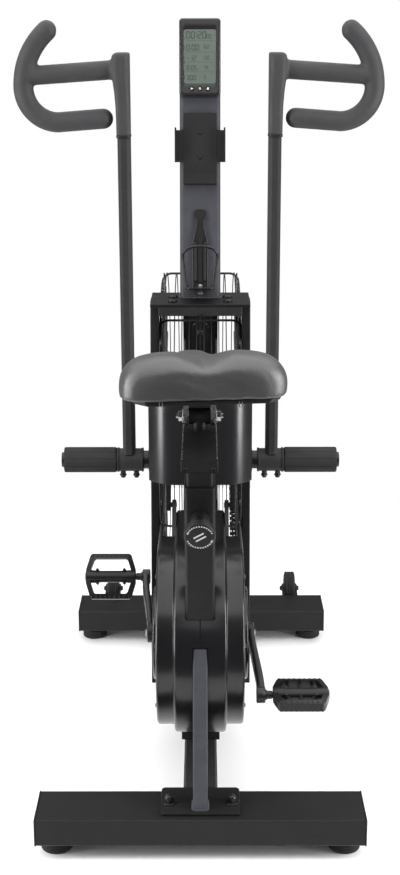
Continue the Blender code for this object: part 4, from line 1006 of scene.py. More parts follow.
def build_rotor():
    """Pressed blades on a drum, with stiffening rings and the driven sprocket."""
    node = "fan_rotor"
    half = BLADE_HALF
    shape = Shape()
    tip = BLADE_REACH - 0.0008
    corner = BLADE_REACH - 0.012
    outline = [(-half, 0.05), (half, 0.05), (half, corner), (half - 0.012, tip), (0.012 - half, tip),
               (-half, corner)]
    rib = rounded(0.038, 0.15, 0.015, 4)
    lip = [(0.06, -0.0008), (0.27, -0.0008), (0.262, 0.0085), (0.068, 0.0085)]
    for index in range(BLADES):
        angle = math.tau * index / BLADES
        ahead = Vector((0.0, math.cos(angle), math.sin(angle)))
        square = Vector((0.0, -math.sin(angle), math.cos(angle)))
        shape.add(block(outline, FAN, X, ahead, -0.0009, 0.0009, 0.0004))
        shape.add(block(rib, FAN + ahead * 0.165, X, ahead, -0.0022, 0.0022, 0.0012))
        for side in SIDES.values():
            shape.add(block(lip, FAN + X * side * (half - 0.0009), ahead, square, -0.0008, 0.0008, 0.0003))
    drum = [(-half, 0.02), (-half, 0.053), (0.002 - half, 0.055), (half - 0.002, 0.055), (half, 0.053),
            (half, 0.02)]
    shape.add(turned(drum, FAN, X, 64))
    shape.add(turned([(half - 0.001, 0.02), (0.06, 0.02), (0.0605, 0.017)], FAN, X, 32))
    for x in (-half + 0.004, half - 0.004):
        shape.add(tube(fan_circle(0.205, x, 80), 0.0026, 8, True))
    piece("fan_blade_wheel", shape, BODY_OF[node], "black_steel", (node,), angle=30.0)
    teeth = fan_sprocket(SPROCKET_TEETH, 0.0125, middle_of("drive_chain").x, 0.0028)
    piece("fan_sprocket", teeth, BODY_OF[node], "black_steel")


def pitch_radius(teeth):
    return CHAIN_PITCH / (2.0 * math.sin(math.pi / teeth))


def fan_sprocket(teeth, bore, x, half):
    """The sprocket beside the fan: rounded teeth on the pitch circle."""
    outline = []
    steps = 6
    for index in range(teeth * steps):
        wave = math.cos(math.tau * (index % steps) / steps)
        outline.append((pitch_radius(teeth) - 0.0012 + 0.0036 * wave, math.tau * index / (teeth * steps)))
    rings = []
    for level, outer in ((x - half, False), (x - half, True), (x + half, True), (x + half, False)):
        rings.append([around_fan(size if outer else bore, angle, level) for size, angle in outline])
    return skin(rings, loop=True)


# ---------------------------------------------------------------- drive


def chain_course():
    """The chain's loop as evenly spaced joints, one pitch apart."""
    big = pitch_radius(RING_TEETH)
    small = pitch_radius(SPROCKET_TEETH)
    run = FAN - CRANK
    heading = math.atan2(run.z, run.y)
    spread = math.acos((big - small) / math.hypot(run.y, run.z))
    course = arc((CRANK.y, CRANK.z), big, heading + spread, heading + math.tau - spread, 240)
    course += arc((FAN.y, FAN.z), small, heading - spread, heading + spread, 60)
    lengths = [0.0]
    for here, there in zip(course, course[1:] + course[:1]):
        lengths.append(lengths[-1] + math.dist(here, there))
    count = 2 * round(lengths[-1] / CHAIN_PITCH / 2.0)
    joints = []
    index = 0
    for step in range(count):
        target = lengths[-1] * step / count
        while lengths[index + 1] < target:
            index += 1
        share = (target - lengths[index]) / (lengths[index + 1] - lengths[index])
        here = course[index]
        there = course[(index + 1) % len(course)]
        joints.append((here[0] + (there[0] - here[0]) * share, here[1] + (there[1] - here[1]) * share))
    return joints


def build_drive():
    chain_x = middle_of("drive_chain").x
    joints = chain_course()
    plates = Shape()
    rollers = Shape()
    for index, (here, there) in enumerate(zip(joints, joints[1:] + joints[:1])):
        start = Vector((chain_x, *here))
        end = Vector((chain_x, *there))
        along = (end - start).normalized()
        square = along.cross(X)
        length = (end - start).length
        outline = arc((length, 0.0), 0.0042, -math.pi / 2, math.pi / 2, 6) + [(length / 2.0, 0.003)]
        outline += arc((0.0, 0.0), 0.0042, math.pi / 2, math.pi * 1.5, 6) + [(length / 2.0, -0.003)]
        offset = 0.0024 if index % 2 else 0.0035
        for side in SIDES.values():
            plates.add(block(outline, start + X * side * offset, along, square, -0.0005, 0.0005))
        rollers.add(rod(start - X * 0.0042, start + X * 0.0042, 0.0036, 10, 0.0004))
    piece("chain_side_plates", plates, "frame", "black_steel", ("drive_chain",))
    piece("chain_rollers", rollers, "frame", "black_steel")
    refined("chainring", 0.0005)
    refined("crank_spindle", 0.0006)
    refined("pivot_axle", 0.001, material=FINISH["black_steel"])
    for side in SIDES:
        refined(f"arm_lever_{side}", 0.001)
        refined(f"link_rod_{side}", 0.0008, material=FINISH["black_steel"])
        build_crank(side)
        build_pedal(side)


EYE_START = 0.0968
AXLE_START = 0.1118


def build_crank(name):
    """A forged crank that bows out from the housing to clear it, with its pedal eye."""
    side = SIDES[name]
    node = f"crank_{name}"
    out = X * side
    inner, far = reach_of(node)
    axis = joint_at(f"{name}_pedal_spin")
    eye = Vector((0.0, axis.y, axis.z))
    boss = Vector((0.0, CRANK.y, CRANK.z))
    square = X.cross((eye - boss).normalized())
    rings = []
    steps = 28
    for step in range(steps + 1):
        share = step / steps
        middle = boss.lerp(eye, share) + out * (inner + 0.0056 + 0.0128 * eased(share))
        outline = rounded(0.034 - 0.01 * share, 0.01 + 0.0034 * share, 0.0038, 4)
        rings.append([middle + square * a + X * b for a, b in outline])
    shape = Shape(skin(rings))
    start = boss + out * inner
    shape.add(turned([(0.0, 0.017), (0.0008, 0.0183), (0.0092, 0.0183), (0.0105, 0.0165), (0.0108, 0.0112),
                      (0.0095, 0.0104), (0.0095, 0.0)], start, out, 40))
    shape.add(turned([(0.0, 0.0125), (0.0012, 0.0143), (0.014, 0.0143), (0.0154, 0.0128), (0.0156, 0.0)],
                     eye + out * EYE_START, out, 40))
    groove = [boss.lerp(eye, share) + out * (inner + 0.0106 + 0.0139 * eased(share))
              for share in (0.22, 0.34, 0.46, 0.58, 0.7, 0.8)]
    shape.add(tube(groove, 0.0042, 10, squeeze=0.3))
    piece(f"crank_arm_{name}", shape, BODY_OF[node], "black_steel", (node,), angle=50.0)
    axle = turned([(0.0, 0.009), (0.003, 0.009), (0.0032, 0.0072), (0.0115, 0.0072), (0.012, 0.0058),
                   (far - AXLE_START, 0.0056)], eye + out * AXLE_START, out, 24)
    piece(f"pedal_axle_{name}", axle, BODY_OF[node], "black_steel")
    bolt = hexagon_head(start + out * 0.008, out, 0.0062, 0.0058)
    piece(f"crank_bolt_{name}", bolt, BODY_OF[node], "bright_steel")


PEDAL_TILT = {"left": math.radians(62.0), "right": math.radians(3.0)}
PEDAL_REACH = 0.0436


def build_pedal(name):
    """A caged pedal: rim with teeth and a bearing barrel, and webs across the right one."""
    side = SIDES[name]
    node = f"pedal_{name}"
    axis = joint_at(f"{name}_pedal_spin")
    start, end = reach_of(node)
    tilt = PEDAL_TILT[name]
    ahead = Vector((0.0, math.cos(tilt), math.sin(tilt)))
    up = Vector((0.0, -math.sin(tilt), math.cos(tilt)))
    origin = Vector((side * (start + end) / 2.0, axis.y, axis.z))
    half = (end - start) / 2.0
    reach = PEDAL_REACH
    narrow = half * 0.79
    front = mirrored([(half, 0.013), (narrow + 0.002, reach - 0.004), (narrow - 0.002, reach)])
    rear = [(-a, -b) for a, b in front]
    rim = rear[-1:] + front + rear[:-1]
    inner = [(a * (1.0 - 0.0088 / half), b * (1.0 - 0.0098 / reach)) for a, b in rim]
    rings = []
    for level, outline, swell in ((-0.0078, rim, 1.0), (-0.0095, inner, 1.0012), (0.0095, inner, 1.0012),
                                  (0.0078, rim, 1.0)):
        rings.append([origin + X * a * swell + ahead * b + up * level for a, b in outline])
    shape = Shape(skin(rings, loop=True))
    shape.add(turned([(0.0, 0.01), (0.001, 0.0118), (0.012, 0.0126), (0.03, 0.0114), (0.066, 0.0114),
                      (0.084, 0.0126), (2.0 * half - 0.001, 0.0118), (2.0 * half, 0.0095)],
                     origin - X * half, X, 32))
    spoke = [(-0.0026, 0.009), (0.0026, 0.009), (0.002, reach - 0.006), (-0.002, reach - 0.006)]
    for way in BOTH_WAYS:
        for a in (-0.0215, 0.0, 0.0215) if name == "right" else ():
            web = 0.0035 if a else 0.0055
            shape.add(block([(p + a, q * way) for p, q in spoke], origin, X, ahead, -web, web, 0.0008))
        for index in range(9):
            a = (index - 4) * narrow * 0.235
            for level in BOTH_WAYS:
                tip = origin + X * a + ahead * way * (reach - 0.004) + up * level * 0.0082
                tooth = [(0.0, 0.0022), (0.0014, 0.0018), (0.0022, 0.0009), (0.0024, 0.0)]
                shape.add(turned(tooth, tip, up * level, 10))
        for a in (-0.026, 0.026):
            stud = [(-0.0075, 0.003), (0.0085, 0.003), (0.01, 0.0018), (0.0103, 0.0)]
            shape.add(turned(stud, origin + X * a + ahead * way * 0.0125, up, 14))
    piece(f"pedal_cage_{name}", shape, BODY_OF[node], "matte_plastic", (node,), PEDAL_COAT, 32.0)
    cap = turned([(0.0, 0.01), (0.0012, 0.0096), (0.002, 0.007), (0.0022, 0.0)],
                 origin + X * side * (half - 0.0004), X * side, 28)
    piece(f"pedal_dust_cap_{name}", cap, BODY_OF[node], "matte_plastic", material=PEDAL_COAT)


# ---------------------------------------------------------------- arms and grips


ARM_TILT = math.radians(0.8)
ARM_TOP = 0.597
ARM_MIDDLE_X = 0.13275
ARM_WIDTH = 0.0245
HUB_X = 0.1365
HUB_HEIGHT = 0.71
HUB_INNER = 0.121
GRIP_RADIUS = 0.0176
CROSSBAR_RADIUS = 0.0166
PEG_FLUTES = 10


def arm_point(side, x, height, forward=0.0):
    """A point up an arm from the pivot: x outwards, height along the arm."""
    lean = side * ARM_TILT
    y = PIVOT.y + height * math.sin(lean) + forward * math.cos(lean)
    z = PIVOT.z + height * math.cos(lean) - forward * math.sin(lean)
    return Vector((side * x, y, z))


def finer_path(path, step):
    """The same path with points about one step apart."""
    result = [path[0]]
    for start, end in zip(path, path[1:]):
        parts = max(1, round((end - start).length / step))
        result += [start.lerp(end, index / parts) for index in range(1, parts + 1)]
    return result


def padded_bar(path, radius, nose=0.016):
    """A foam sleeve's sweep, whose ends round off over the nose length."""
    points = finer_path(path, 0.0022)
    length = sum((b - a).length for a, b in zip(points, points[1:]))

    def bulge(share):
        near = min(share, 1.0 - share) * length
        if near >= nose:
            return 1.0
        return max(0.3, math.sqrt(1.0 - ((nose - near) / nose) ** 2 * 0.97))

    return tube(points, radius, 24, bulge=bulge)


def build_arms():
    head = [(0.0, 0.0062), (0.0012, 0.0066), (0.002, 0.006), (0.0022, 0.0046), (0.005, 0.0044),
            (0.0062, 0.0036), (0.0066, 0.0)]
    for name, side in SIDES.items():
        node = f"arm_{name}"
        body = BODY_OF[node]
        # The arms wear the lightened coat: painted light on them.
        refined(node, 0.0014, angle=32.0, material=PAINTED_LIGHT_COAT)
        bolts = Shape()
        for shift in (-0.0125, 0.0125):
            at = Vector((side * ARM_MIDDLE_X + shift, PIVOT.y, low_of(node).z + 0.0035))
            bolts.add(turned(head, at, -Z, 28))
        piece(f"{node}_flange_bolts", bolts, body, "black_steel")
        rings = Shape()
        for start, end, radius, bore, edge in ((0.1515, 0.156, 0.0232, 0.0085, 0.001),
                                               (0.1064, 0.11, 0.0226, 0.0172, 0.0008)):
            rings.add(ring_of(PIVOT + X * side * start, PIVOT + X * side * end, radius, bore, 48, edge))
        piece(f"{node}_seal_rings", rings, body, "matte_plastic")
        build_grip(name, side)
        build_peg(name, side)


def build_grip(name, side):
    """The foam-covered handle: hub on the arm, crossbar, horn, outer bend and lower bar."""

    def at(out, up):
        return arm_point(side, HUB_X + out, HUB_HEIGHT + up)

    horn = degrees_arc((0.045, -0.03), 0.125, 57.0, 0.0, 14)
    low_bend = degrees_arc((0.11, -0.03), 0.06, 0.0, -88.0, 16)
    path = [at(a, b) for a, b in horn + low_bend[1:]]
    path.append(at(0.015, -0.0825))
    shape = Shape(padded_bar(path, GRIP_RADIUS))
    shape.add(tube(finer_path([at(0.0, 0.0), at(0.16, -0.011)], 0.004), CROSSBAR_RADIUS, 24))
    rings = []
    for height, width, depth, corner in (
        (ARM_TOP + 0.0006, ARM_WIDTH, 0.043, 0.007), (0.62, 0.0247, 0.0435, 0.0075),
        (0.648, 0.0254, 0.045, 0.008), (0.672, 0.0272, 0.0475, 0.009), (0.692, 0.03, 0.0505, 0.01),
        (0.706, 0.0312, 0.052, 0.011), (0.73, 0.0312, 0.052, 0.011), (0.7355, 0.029, 0.0495, 0.011),
        (0.738, 0.024, 0.044, 0.01),
    ):
        centre_x = HUB_INNER + width / 2.0
        rings.append([arm_point(side, centre_x + a, height, b) for a, b in rounded(width, depth, corner, 5)])
    shape.add(skin(rings))
    node = f"grip_{name}"
    mesh = fused(shape, 0.0021, 9)
    mesh.name = f"grip_foam_{name}"
    grip = dress(f"grip_foam_{name}", mesh, BODY_OF[node], "foam_grip", (node,), angle=80.0)
    foot = []
    for level, grow in ((-0.0004, -0.0008), (0.0006, 0.0003), (0.0046, 0.0003), (0.0058, -0.0006)):
        outline = rounded(ARM_WIDTH + 2.0 * grow, 0.043 + 2.0 * grow, 0.0072, 5)
        foot.append([arm_point(side, HUB_INNER + ARM_WIDTH / 2.0 + a, ARM_TOP - 0.003 + level, b)
                     for a, b in outline])
    piece(f"grip_end_ring_{name}", skin(foot), BODY_OF[node], "matte_plastic")


def build_peg(name, side):
    """A ribbed rubber foot peg on the fixed axle."""
    node = f"foot_peg_{name}"
    start, end = reach_of(node)
    radius = size_of(node).z / 2.0
    count = PEG_FLUTES * 16
    rings = []
    levels = [(start, 0.42), (start, 0.91), (start + 0.0012, 0.985), (start + 0.003, 1.0),
              (end - 0.0095, 1.0), (end - 0.0088, 0.965), (end - 0.0078, 0.965), (end - 0.0071, 1.0),
              (end - 0.003, 1.0), (end - 0.0012, 0.985), (end, 0.93), (end, 0.42)]
    for x, factor in levels:
        ring = []
        for step in range(count):
            angle = math.tau * step / count
            wave = abs(math.cos(angle * PEG_FLUTES / 2.0))
            depth = 0.0019 * (1.0 - wave ** 0.3) + 0.0008 * wave if factor > 0.97 else 0.0
            size = radius * factor - depth
            ring.append(PIVOT + Vector((side * x, size * math.cos(angle), size * math.sin(angle))))
        rings.append(ring)
    piece(f"{node}_sleeve", skin(rings), BODY_OF[node], "rubber", (node,), angle=50.0)


# ---------------------------------------------------------------- shells


HOUSING_CORNER = 0.015
HUMP = (0.178, 0.483)
FLANK = (0.164, 0.458)
DISC = 0.084
WALL = 0.003
SCREW_CIRCLE = 0.148
SCREW_SEAT = 0.0769
TOP_SCREW = (-0.075, 0.395)
SHIELD_FLAT = 0.045
SHIELD_SWEEP = 0.03
# The tiers of a housing half, from the middle outwards: x, which outline, and how far it is drawn in (or the
# radius of a disc).
TIERS = (
    (0.0002, "hump", 0.0009), (0.001, "hump", 0.0), (0.0405, "hump", 0.0), (0.0428, "hump", 0.0006),
    (0.0446, "hump", 0.0019), (0.0456, "hump", 0.0036), (0.046, "hump", 0.0056), (0.0463, "flank", -0.0026),
    (0.0468, "flank", -0.0008), (0.0482, "flank", 0.0), (0.072, "flank", 0.0), (0.0742, "flank", 0.0006),
    (0.0758, "flank", 0.0017), (0.0767, "flank", 0.0032), (0.077, "flank", 0.005),
    (0.0772, "disc", DISC + 0.003), (0.0778, "disc", DISC + 0.0012), (0.079, "disc", DISC),
    (0.0828, "disc", DISC - 0.0003),
    (0.0841, "disc", DISC - 0.0012), (0.0847, "disc", DISC - 0.0028), (0.0848, "disc", DISC - 0.005),
    (0.0848, "disc", 0.06), (0.0838, "disc", 0.0575), (0.0838, "disc", 0.032), (0.0846, "disc", 0.0295),
    (0.0846, "disc", 0.0155), (0.083, "disc", 0.014), (0.06, "disc", 0.014),
)
HOLLOW = ((-0.01, "hump", WALL), (0.0425, "hump", WALL), (0.0428, "flank", WALL), (0.0738, "flank", WALL))


def build_deflector():
    """The glossy leg shield: flat in the middle, swept forward at both sides."""
    low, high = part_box("wind_deflector")
    steps = 48
    lines = []
    for depth in (0.0, 0.003):
        line = []
        for step in range(steps + 1):
            x = high.x * (2.0 * step / steps - 1.0)
            bend = max(abs(x) - SHIELD_FLAT, 0.0) / (high.x - SHIELD_FLAT)
            line.append((x, low.y + depth + SHIELD_SWEEP * bend * bend))
        lines.append(line)
    loop = lines[0] + lines[1][::-1]
    rings = [[Vector((a, b, z)) for a, b in loop] for z in (low.z, low.z + 0.06, high.z - 0.06, high.z)]
    # The leg shield wears the lighter, bluer shell: a painted sheen.
    shield = piece("leg_shield", skin(rings), "frame", "gloss_shell", ("wind_deflector",), SHIELD_PAINTED_SHEEN, 40.0)
    soften(shield, 0.0009, 2, 50.0)
    stays = Shape()
    z = low.z + 0.05
    for side in SIDES.values():
        stays.add(tube([(side * 0.076, low.y + 0.02, z), (side * 0.086, low.y + 0.05, z),
                        (side * 0.0885, 0.018, z)], 0.004, 10))
    piece("leg_shield_stays", stays, "frame", "black_steel")


def housing_course(radius, top, inset):
    """The housing's outline: a circle about the crank with a squared stretch towards the fan."""
    front = high_of("housing_left").y - inset
    wall_top = top - inset - HOUSING_CORNER
    points = degrees_arc((CRANK.y, CRANK.z), radius - inset, 90.0, 318.0, 120)
    last = points[-1]
    knee = (front, last[1] + (front - last[0]) * math.tan(math.radians(48.0)))
    points += straight(last, knee, 8)
    points += straight(knee, (front, wall_top), 16)
    points += degrees_arc((front - HOUSING_CORNER, wall_top), HOUSING_CORNER, 0.0, 90.0, 6)[1:]
    points += straight(points[-1], points[0], 16)[:-1]
    return points


def housing_rings(side, steps):
    rings = []
    for x, form, amount in steps:
        if form == "disc":
            course = []
            for y, z in housing_course(*FLANK, 0.0):
                angle = math.atan2(z - CRANK.z, y - CRANK.y)
                course.append((CRANK.y + amount * math.cos(angle), CRANK.z + amount * math.sin(angle)))
        else:
            course = housing_course(*(HUMP if form == "hump" else FLANK), amount)
        rings.append([Vector((side * x, y, z)) for y, z in course])
    return rings


def build_housing():
    """Two moulded halves round the drive, stepped in three tiers with rounded edges."""
    seat_tube = bar(TUBE_FOOT - TUBE_UP * 0.0004, TUBE_FOOT + TUBE_UP * 0.3, rounded(0.0515, 0.0515, 0.004))
    for name, side in SIDES.items():
        cutters = [
            skin(housing_rings(side, HOLLOW)),
            seat_tube,
            slab([(-0.46, 0.18), (-0.3, 0.22), (-0.34, 0.3515), (-0.43, 0.3515)], -0.0132, 0.0132),
            slab(rectangle((-0.22, 0.05), (-0.14, 0.16)), -0.0345, 0.0345),
            slab(rectangle((-0.155, 0.4), (-0.062, 0.52)), *sorted((side * 0.0435, side * 0.0685))),
            slab(rectangle((-0.09, 0.25), (-0.04, 0.465)), *sorted((side * 0.0525, side * 0.0705))),
        ]
        mesh = carve(temporary(skin(housing_rings(side, TIERS))), cutters)
        mesh.name = f"drive_housing_{name}"
        dress(mesh.name, mesh, "frame", "gloss_shell", (f"housing_{name}",), angle=38.0)
        course = degrees_arc((CRANK.y, CRANK.z), SCREW_CIRCLE, 115.0, 315.0, 4) + [TOP_SCREW]
        places = [Vector((side * SCREW_SEAT, y, z)) for y, z in course]
        cross_screws(f"housing_screws_{name}", places, X * side, 0.0042)


# ---------------------------------------------------------------- seat


def build_seat_support():
    refined("seat_post", 0.0009)
    refined("seat_slider", 0.0022, 4)
    refined("saddle_clamp", 0.0005)
    low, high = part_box("seat_slider")
    places = [Vector((side * 0.0215, low.y + 0.0003, low.z + 0.006)) for side in SIDES.values()]
    cross_screws("slider_end_screws", places, -Y, 0.0036, "slider")
    end = Vector((0.0, low.y + 0.0004, low.z + 0.0105))
    face = block(rounded(0.056, 0.018, 0.002), end, X, Z, -0.0002, 0.0014, 0.0008)
    piece("slider_end_face", face, "slider", "matte_plastic")
    # Thin bright steel bars along the slider's edges: painted highlights where its edges catch the light.
    highlight_strips = Shape()
    for side in SIDES.values():
        for rise, reach in ((0.0201, 0.0265), (0.0012, 0.0268)):
            rear = Vector((side * reach, low.y + 0.0065, low.z + rise))
            highlight_strips.add(rod(rear, (rear.x, high.y - 0.001, rear.z), 0.001, 8, 0.0002))
    piece("slider_edge_highlights", highlight_strips, "slider", "bright_steel")
    ticks = Shape()
    for index in range(9):
        at = Vector((0.0, low.y + 0.03 + index * 0.01, low.z + 0.0203))
        ticks.add(printed(rounded(0.009 if index % 2 else 0.014, 0.0008, 0.0002, 1), at, Y))
    piece("slider_scale", ticks, "slider", "powder_black", material=INK)
    nuts = Shape()
    for side in SIDES.values():
        out = X * side
        nuts.add(hexagon_head(SADDLE_BOLT + out * 0.027, out, 0.0088, 0.0078))
        for start in (0.0182, 0.0215):
            washer = SADDLE_BOLT + out * start
            nuts.add(ring_of(washer, washer + out * 0.0026, 0.0148, 0.005, 36))
    piece("clamp_nuts_and_washers", nuts, "saddle", "bright_steel")
    build_knob()


KNOB_DROP = 0.059
KNOB_FACE = 0.0509
ARROW_INNER = 0.0196
ARROW_OUTER = 0.022


def build_knob():
    """The spring plunger's knob, with a printed ring of plain marks and two arrows."""
    node = "pop_pin_knob"
    base = TUBE_FOOT + TUBE_UP * (TUBE_LENGTH - KNOB_DROP) + TUBE_BACK * TUBE_HALF
    profile = [
        (0.0203, 0.0096), (0.021, 0.0104), (0.0335, 0.0104), (0.0342, 0.0215), (0.035, 0.0243),
        (0.0366, 0.0255), (0.046, 0.0255), (0.0482, 0.025), (0.0498, 0.0236), (0.0506, 0.0212),
        (0.0508, 0.018), (0.0508, 0.0),
    ]
    piece("height_knob", turned(profile, base, TUBE_BACK, 72), BODY_OF[node], "matte_plastic", (node,))
    sleeve = [(0.0, 0.0158), (0.006, 0.0156), (0.008, 0.015), (0.0196, 0.0148), (0.02, 0.014),
              (0.02, 0.0118)]
    piece("height_knob_sleeve", turned(sleeve, base, TUBE_BACK, 48), "frame", "black_steel")
    face = base + TUBE_BACK * KNOB_FACE
    marks = Shape()
    for start, end in ((20, 160), (200, 340)):
        inner = degrees_arc((0.0, 0.0), ARROW_INNER, start, end, 24)
        outer = degrees_arc((0.0, 0.0), ARROW_OUTER, start, end, 24)
        for index in range(0, 24, 2):
            dash = [inner[index], outer[index], outer[index + 1], inner[index + 1]]
            marks.add(printed(dash, face, TUBE_UP))
        head = []
        for radius, angle in ((0.0208, end + 6), (0.0186, end - 3), (0.023, end - 3)):
            head += degrees_arc((0.0, 0.0), radius, angle, angle, 1)[:1]
        marks.add(printed(head, face, TUBE_UP))
    slant = Matrix.Rotation(math.radians(32.0), 2)
    for shift in (-0.0035, 0.0035):
        marks.add(printed([slant @ Vector((a, b + shift)) for a, b in rounded(0.019, 0.0026, 0.0006, 2)],
                          face, TUBE_UP))
    piece("height_knob_print", marks, BODY_OF[node], "matte_plastic", material=INK)


PUFF_FRAMES = 20
PUFF_LIMIT = 0.002
SADDLE_LENGTH = 0.27
SADDLE_REAR = -0.561
SADDLE_SHIFT = -0.004
SADDLE_TURN = math.radians(6.5)
SADDLE_FORM = (
    # share of the length from the rear, half width, crown over the base, depth of the middle notch
    (0.00, 0.096, 0.046, 0.003),
    (0.02, 0.114, 0.054, 0.008),
    (0.06, 0.1265, 0.061, 0.014),
    (0.13, 0.1315, 0.0645, 0.017),
    (0.24, 0.1305, 0.0635, 0.014),
    (0.36, 0.113, 0.054, 0.01),
    (0.5, 0.08, 0.0415, 0.006),
    (0.66, 0.05, 0.0325, 0.003),
    (0.84, 0.0345, 0.027, 0.0),
    (0.96, 0.0265, 0.022, 0.0),
    (1.00, 0.0165, 0.0145, 0.0),
)


def inflated(mesh, limit):
    """Puff a cushion with cloth pressure, no point moving further than the limit."""
    item = placed("cushion_work", mesh)
    rest = [vertex.co.copy() for vertex in mesh.vertices]
    cloth = item.modifiers.new("cloth", "CLOTH")
    cloth.settings.use_pressure = True
    cloth.settings.uniform_pressure_force = 4.0
    cloth.settings.effector_weights.gravity = 0.0
    cloth.settings.quality = 5
    cloth.point_cache.frame_start = 1
    cloth.point_cache.frame_end = PUFF_FRAMES
    scene = bpy.context.scene
    for step in range(1, PUFF_FRAMES + 1):
        scene.frame_set(step)
    puffed = evaluated_mesh(item)
    for vertex, start in zip(puffed.vertices, rest):
        move = vertex.co - start
        if move.length > limit:
            vertex.co = start + move.normalized() * limit
    scene.frame_set(1)
    return puffed


def between(table, share):
    """The table's row at a share, on a smooth curve through its neighbours."""
    index = max(k for k in range(len(table) - 1) if table[k][0] <= share)
    first = table[max(index - 1, 0)]
    second = table[index]
    third = table[index + 1]
    fourth = table[min(index + 2, len(table) - 1)]
    t = (share - second[0]) / (third[0] - second[0])
    row = []
    for a, b, c, d in zip(first, second, third, fourth):
        leave = 0.25 * (c - a)
        arrive = 0.25 * (d - b)
        bend = (leave * (1.0 - t) - arrive * t) * t * (1.0 - t)
        row.append(b + ((c - b) * (eased(t) + t) + bend) * 0.5)
    return row


def saddle_shape():
    """The cushion before it is puffed: flat below, upright sides, two humps and a narrow nose."""
    base = low_of("saddle_pad").z + 0.001
    centre_y = SADDLE_REAR + SADDLE_LENGTH / 2.0
    turn_cosine = math.cos(SADDLE_TURN)
    turn_sine = math.sin(SADDLE_TURN)
    rings = []
    for step in range(41):
        share = 0.5 - 0.5 * math.cos(math.pi * step / 40.0)
        _, half, rise, notch = between(SADDLE_FORM, min(share, 0.9999))
        along = share * SADDLE_LENGTH - SADDLE_LENGTH / 2.0
        ring = []
        for spoke in range(56):
            angle = math.tau * spoke / 56.0
            cosine = math.cos(angle)
            sine = math.sin(angle)
            x = half * math.copysign(abs(cosine) ** 0.52, cosine)
            if sine > 0.0:
                z = rise * sine ** 0.56 - notch * math.exp(-(x / 0.026) ** 2) * sine
            else:
                z = -0.0008 * abs(sine)
                x *= 0.985
            ring.append(Vector((
                x * turn_cosine - along * turn_sine + SADDLE_SHIFT,
                centre_y + x * turn_sine + along * turn_cosine,
                base + z,
            )))
        rings.append(ring)
    return skin(rings)


def build_saddle():
    """The padded saddle: a formed block puffed by cloth pressure, over its plastic pan."""
    mesh = fused(saddle_shape(), 0.0045, 4)
    mesh = inflated(mesh, PUFF_LIMIT)
    base = low_of("saddle_pad").z
    for vertex in mesh.vertices:
        vertex.co.z = max(vertex.co.z, base)
    item = placed("saddle_work", mesh)
    finer = item.modifiers.new("finer", "SUBSURF")
    finer.levels = 1
    finer.render_levels = 1
    mesh = smoothed(item, 6)
    mesh.name = "saddle_cover"
    cover = dress("saddle_cover", mesh, "saddle", "leatherette", ("saddle_pad",), angle=80.0)
    refined("saddle_pan", 0.0012)
    clips = Shape()
    rear = low_of("saddle_pan").y
    for x in (-0.058, 0.0625):
        ends = []
        for edge in (x - 0.0022, x + 0.0022):
            ends.append((edge, rear + 0.0012, base - 0.0072))
            bend = (edge, rear + 0.002, base - 0.0012)
            clips.add(tube([(edge, rear + 0.025, base - 0.001), bend, ends[-1]], 0.0008, 8))
        clips.add(tube(ends, 0.0008, 8))
    piece("saddle_cover_clips", clips, "saddle", "bright_steel")


# ---------------------------------------------------------------- studio


FLOOR_RADIUS = 1.25
FLOOR_MIDDLE_Y = 0.3
LENS = 58.09
SENSOR = 36.0
CAMERA_BACK = 2.0264
CAMERA_X = 0.007
CAMERA_Z = 1.3617
CAMERA_PITCH = 0.2805
CAMERA_YAW = -0.003
CAMERA_ROLL = -0.002
# Name, place, what it is aimed at, width, height, power in watts and spread in degrees.
SOFTBOXES = (
    ("softbox_top", (0.0, 0.0, 3.6), (0.0, 0.0, 0.0), 7.0, 7.0, 330.0, 180.0),
    ("softbox_left", (-2.0, -0.95, 1.02), (0.0, -0.2, 1.02), 0.5, 2.0, 62.0, 180.0),
    ("softbox_right", (2.0, -0.95, 1.02), (0.0, -0.2, 1.02), 0.5, 2.0, 62.0, 180.0),
    ("softbox_key", (0.0, -3.4, 2.6), (0.0, -0.1, 1.15), 2.0, 1.0, 0.9, 50.0),
)


def add_softbox(name, place, target, width, height, power, spread):
    light = bpy.data.lights.new(name, "AREA")
    light.shape = "RECTANGLE"
    light.size = width
    light.size_y = height
    light.energy = power
    light.spread = math.radians(spread)
    item = placed(name, light)
    item.location = place
    item.rotation_euler = (Vector(target) - Vector(place)).to_track_quat("-Z", "Y").to_euler()


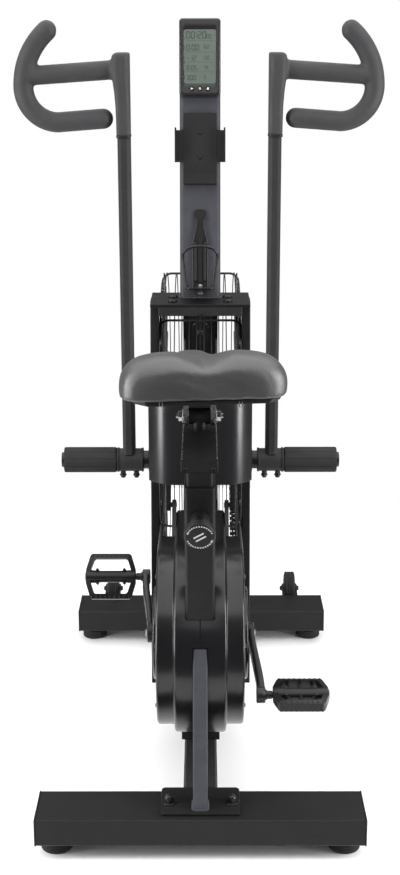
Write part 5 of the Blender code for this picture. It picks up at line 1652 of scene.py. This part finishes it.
def build_studio():
    """A round white floor under a wide softbox, with tall ones at both sides and a weak one by the camera."""
    count = 96
    mesh = bpy.data.meshes.new("studio_floor")
    rim = [(*point, 0.0) for point in arc((0.0, FLOOR_MIDDLE_Y), FLOOR_RADIUS, 0.0, math.tau, count)[:-1]]
    mesh.from_pydata(rim, [], [tuple(range(count))])
    mesh.materials.append(floor_paint("floor_paint", (0.93, 0.93, 0.93)))
    floor = placed("studio_floor", mesh)
    build_sky()
    bpy.context.scene.view_settings.view_transform = "Standard"
    for softbox in SOFTBOXES:
        add_softbox(*softbox)


def build_sky():
    """White behind the object, and a dimmer even light on it."""
    world = bpy.data.worlds.new("studio_world")
    world.use_nodes = True
    tree = world.node_tree
    sky = tree.nodes["Background"]
    sky.inputs["Color"].default_value = (1.0, 1.0, 1.0, 1.0)
    path = tree.nodes.new("ShaderNodeLightPath")
    strength = tree.nodes.new("ShaderNodeMapRange")
    strength.inputs["To Min"].default_value = 0.2
    strength.inputs["To Max"].default_value = 1.0
    tree.links.new(path.outputs["Is Camera Ray"], strength.inputs["Value"])
    tree.links.new(strength.outputs["Result"], sky.inputs["Strength"])
    bpy.context.scene.world = world


def build_camera():
    """The photograph's viewpoint: behind the saddle, looking down along the bike."""
    camera = bpy.data.cameras.new("studio_camera")
    camera.lens = LENS
    camera.sensor_width = SENSOR
    item = placed("studio_camera", camera)
    right = Vector((math.cos(CAMERA_YAW), -math.sin(CAMERA_YAW), 0.0))
    level = Vector((math.sin(CAMERA_YAW), math.cos(CAMERA_YAW), 0.0))
    ahead = level * math.cos(CAMERA_PITCH) - Z * math.sin(CAMERA_PITCH)
    up = right.cross(ahead)
    turned_right = right * math.cos(CAMERA_ROLL) + up * math.sin(CAMERA_ROLL)
    turned_up = up * math.cos(CAMERA_ROLL) - right * math.sin(CAMERA_ROLL)
    place = Matrix((turned_right, turned_up, -ahead)).transposed().to_4x4()
    place.translation = (CAMERA_X, low_of("seat_slider").y - CAMERA_BACK, CAMERA_Z)
    item.matrix_world = place
    bpy.context.scene.camera = item


build_camera()
build_studio()
build_floor_frame()
build_wheels()
build_brace()
build_upper_frame()
build_mast()
build_console()
build_holders()
build_guard()
build_rotor()
build_drive()
build_arms()
build_deflector()
build_housing()
build_seat_support()
build_saddle()
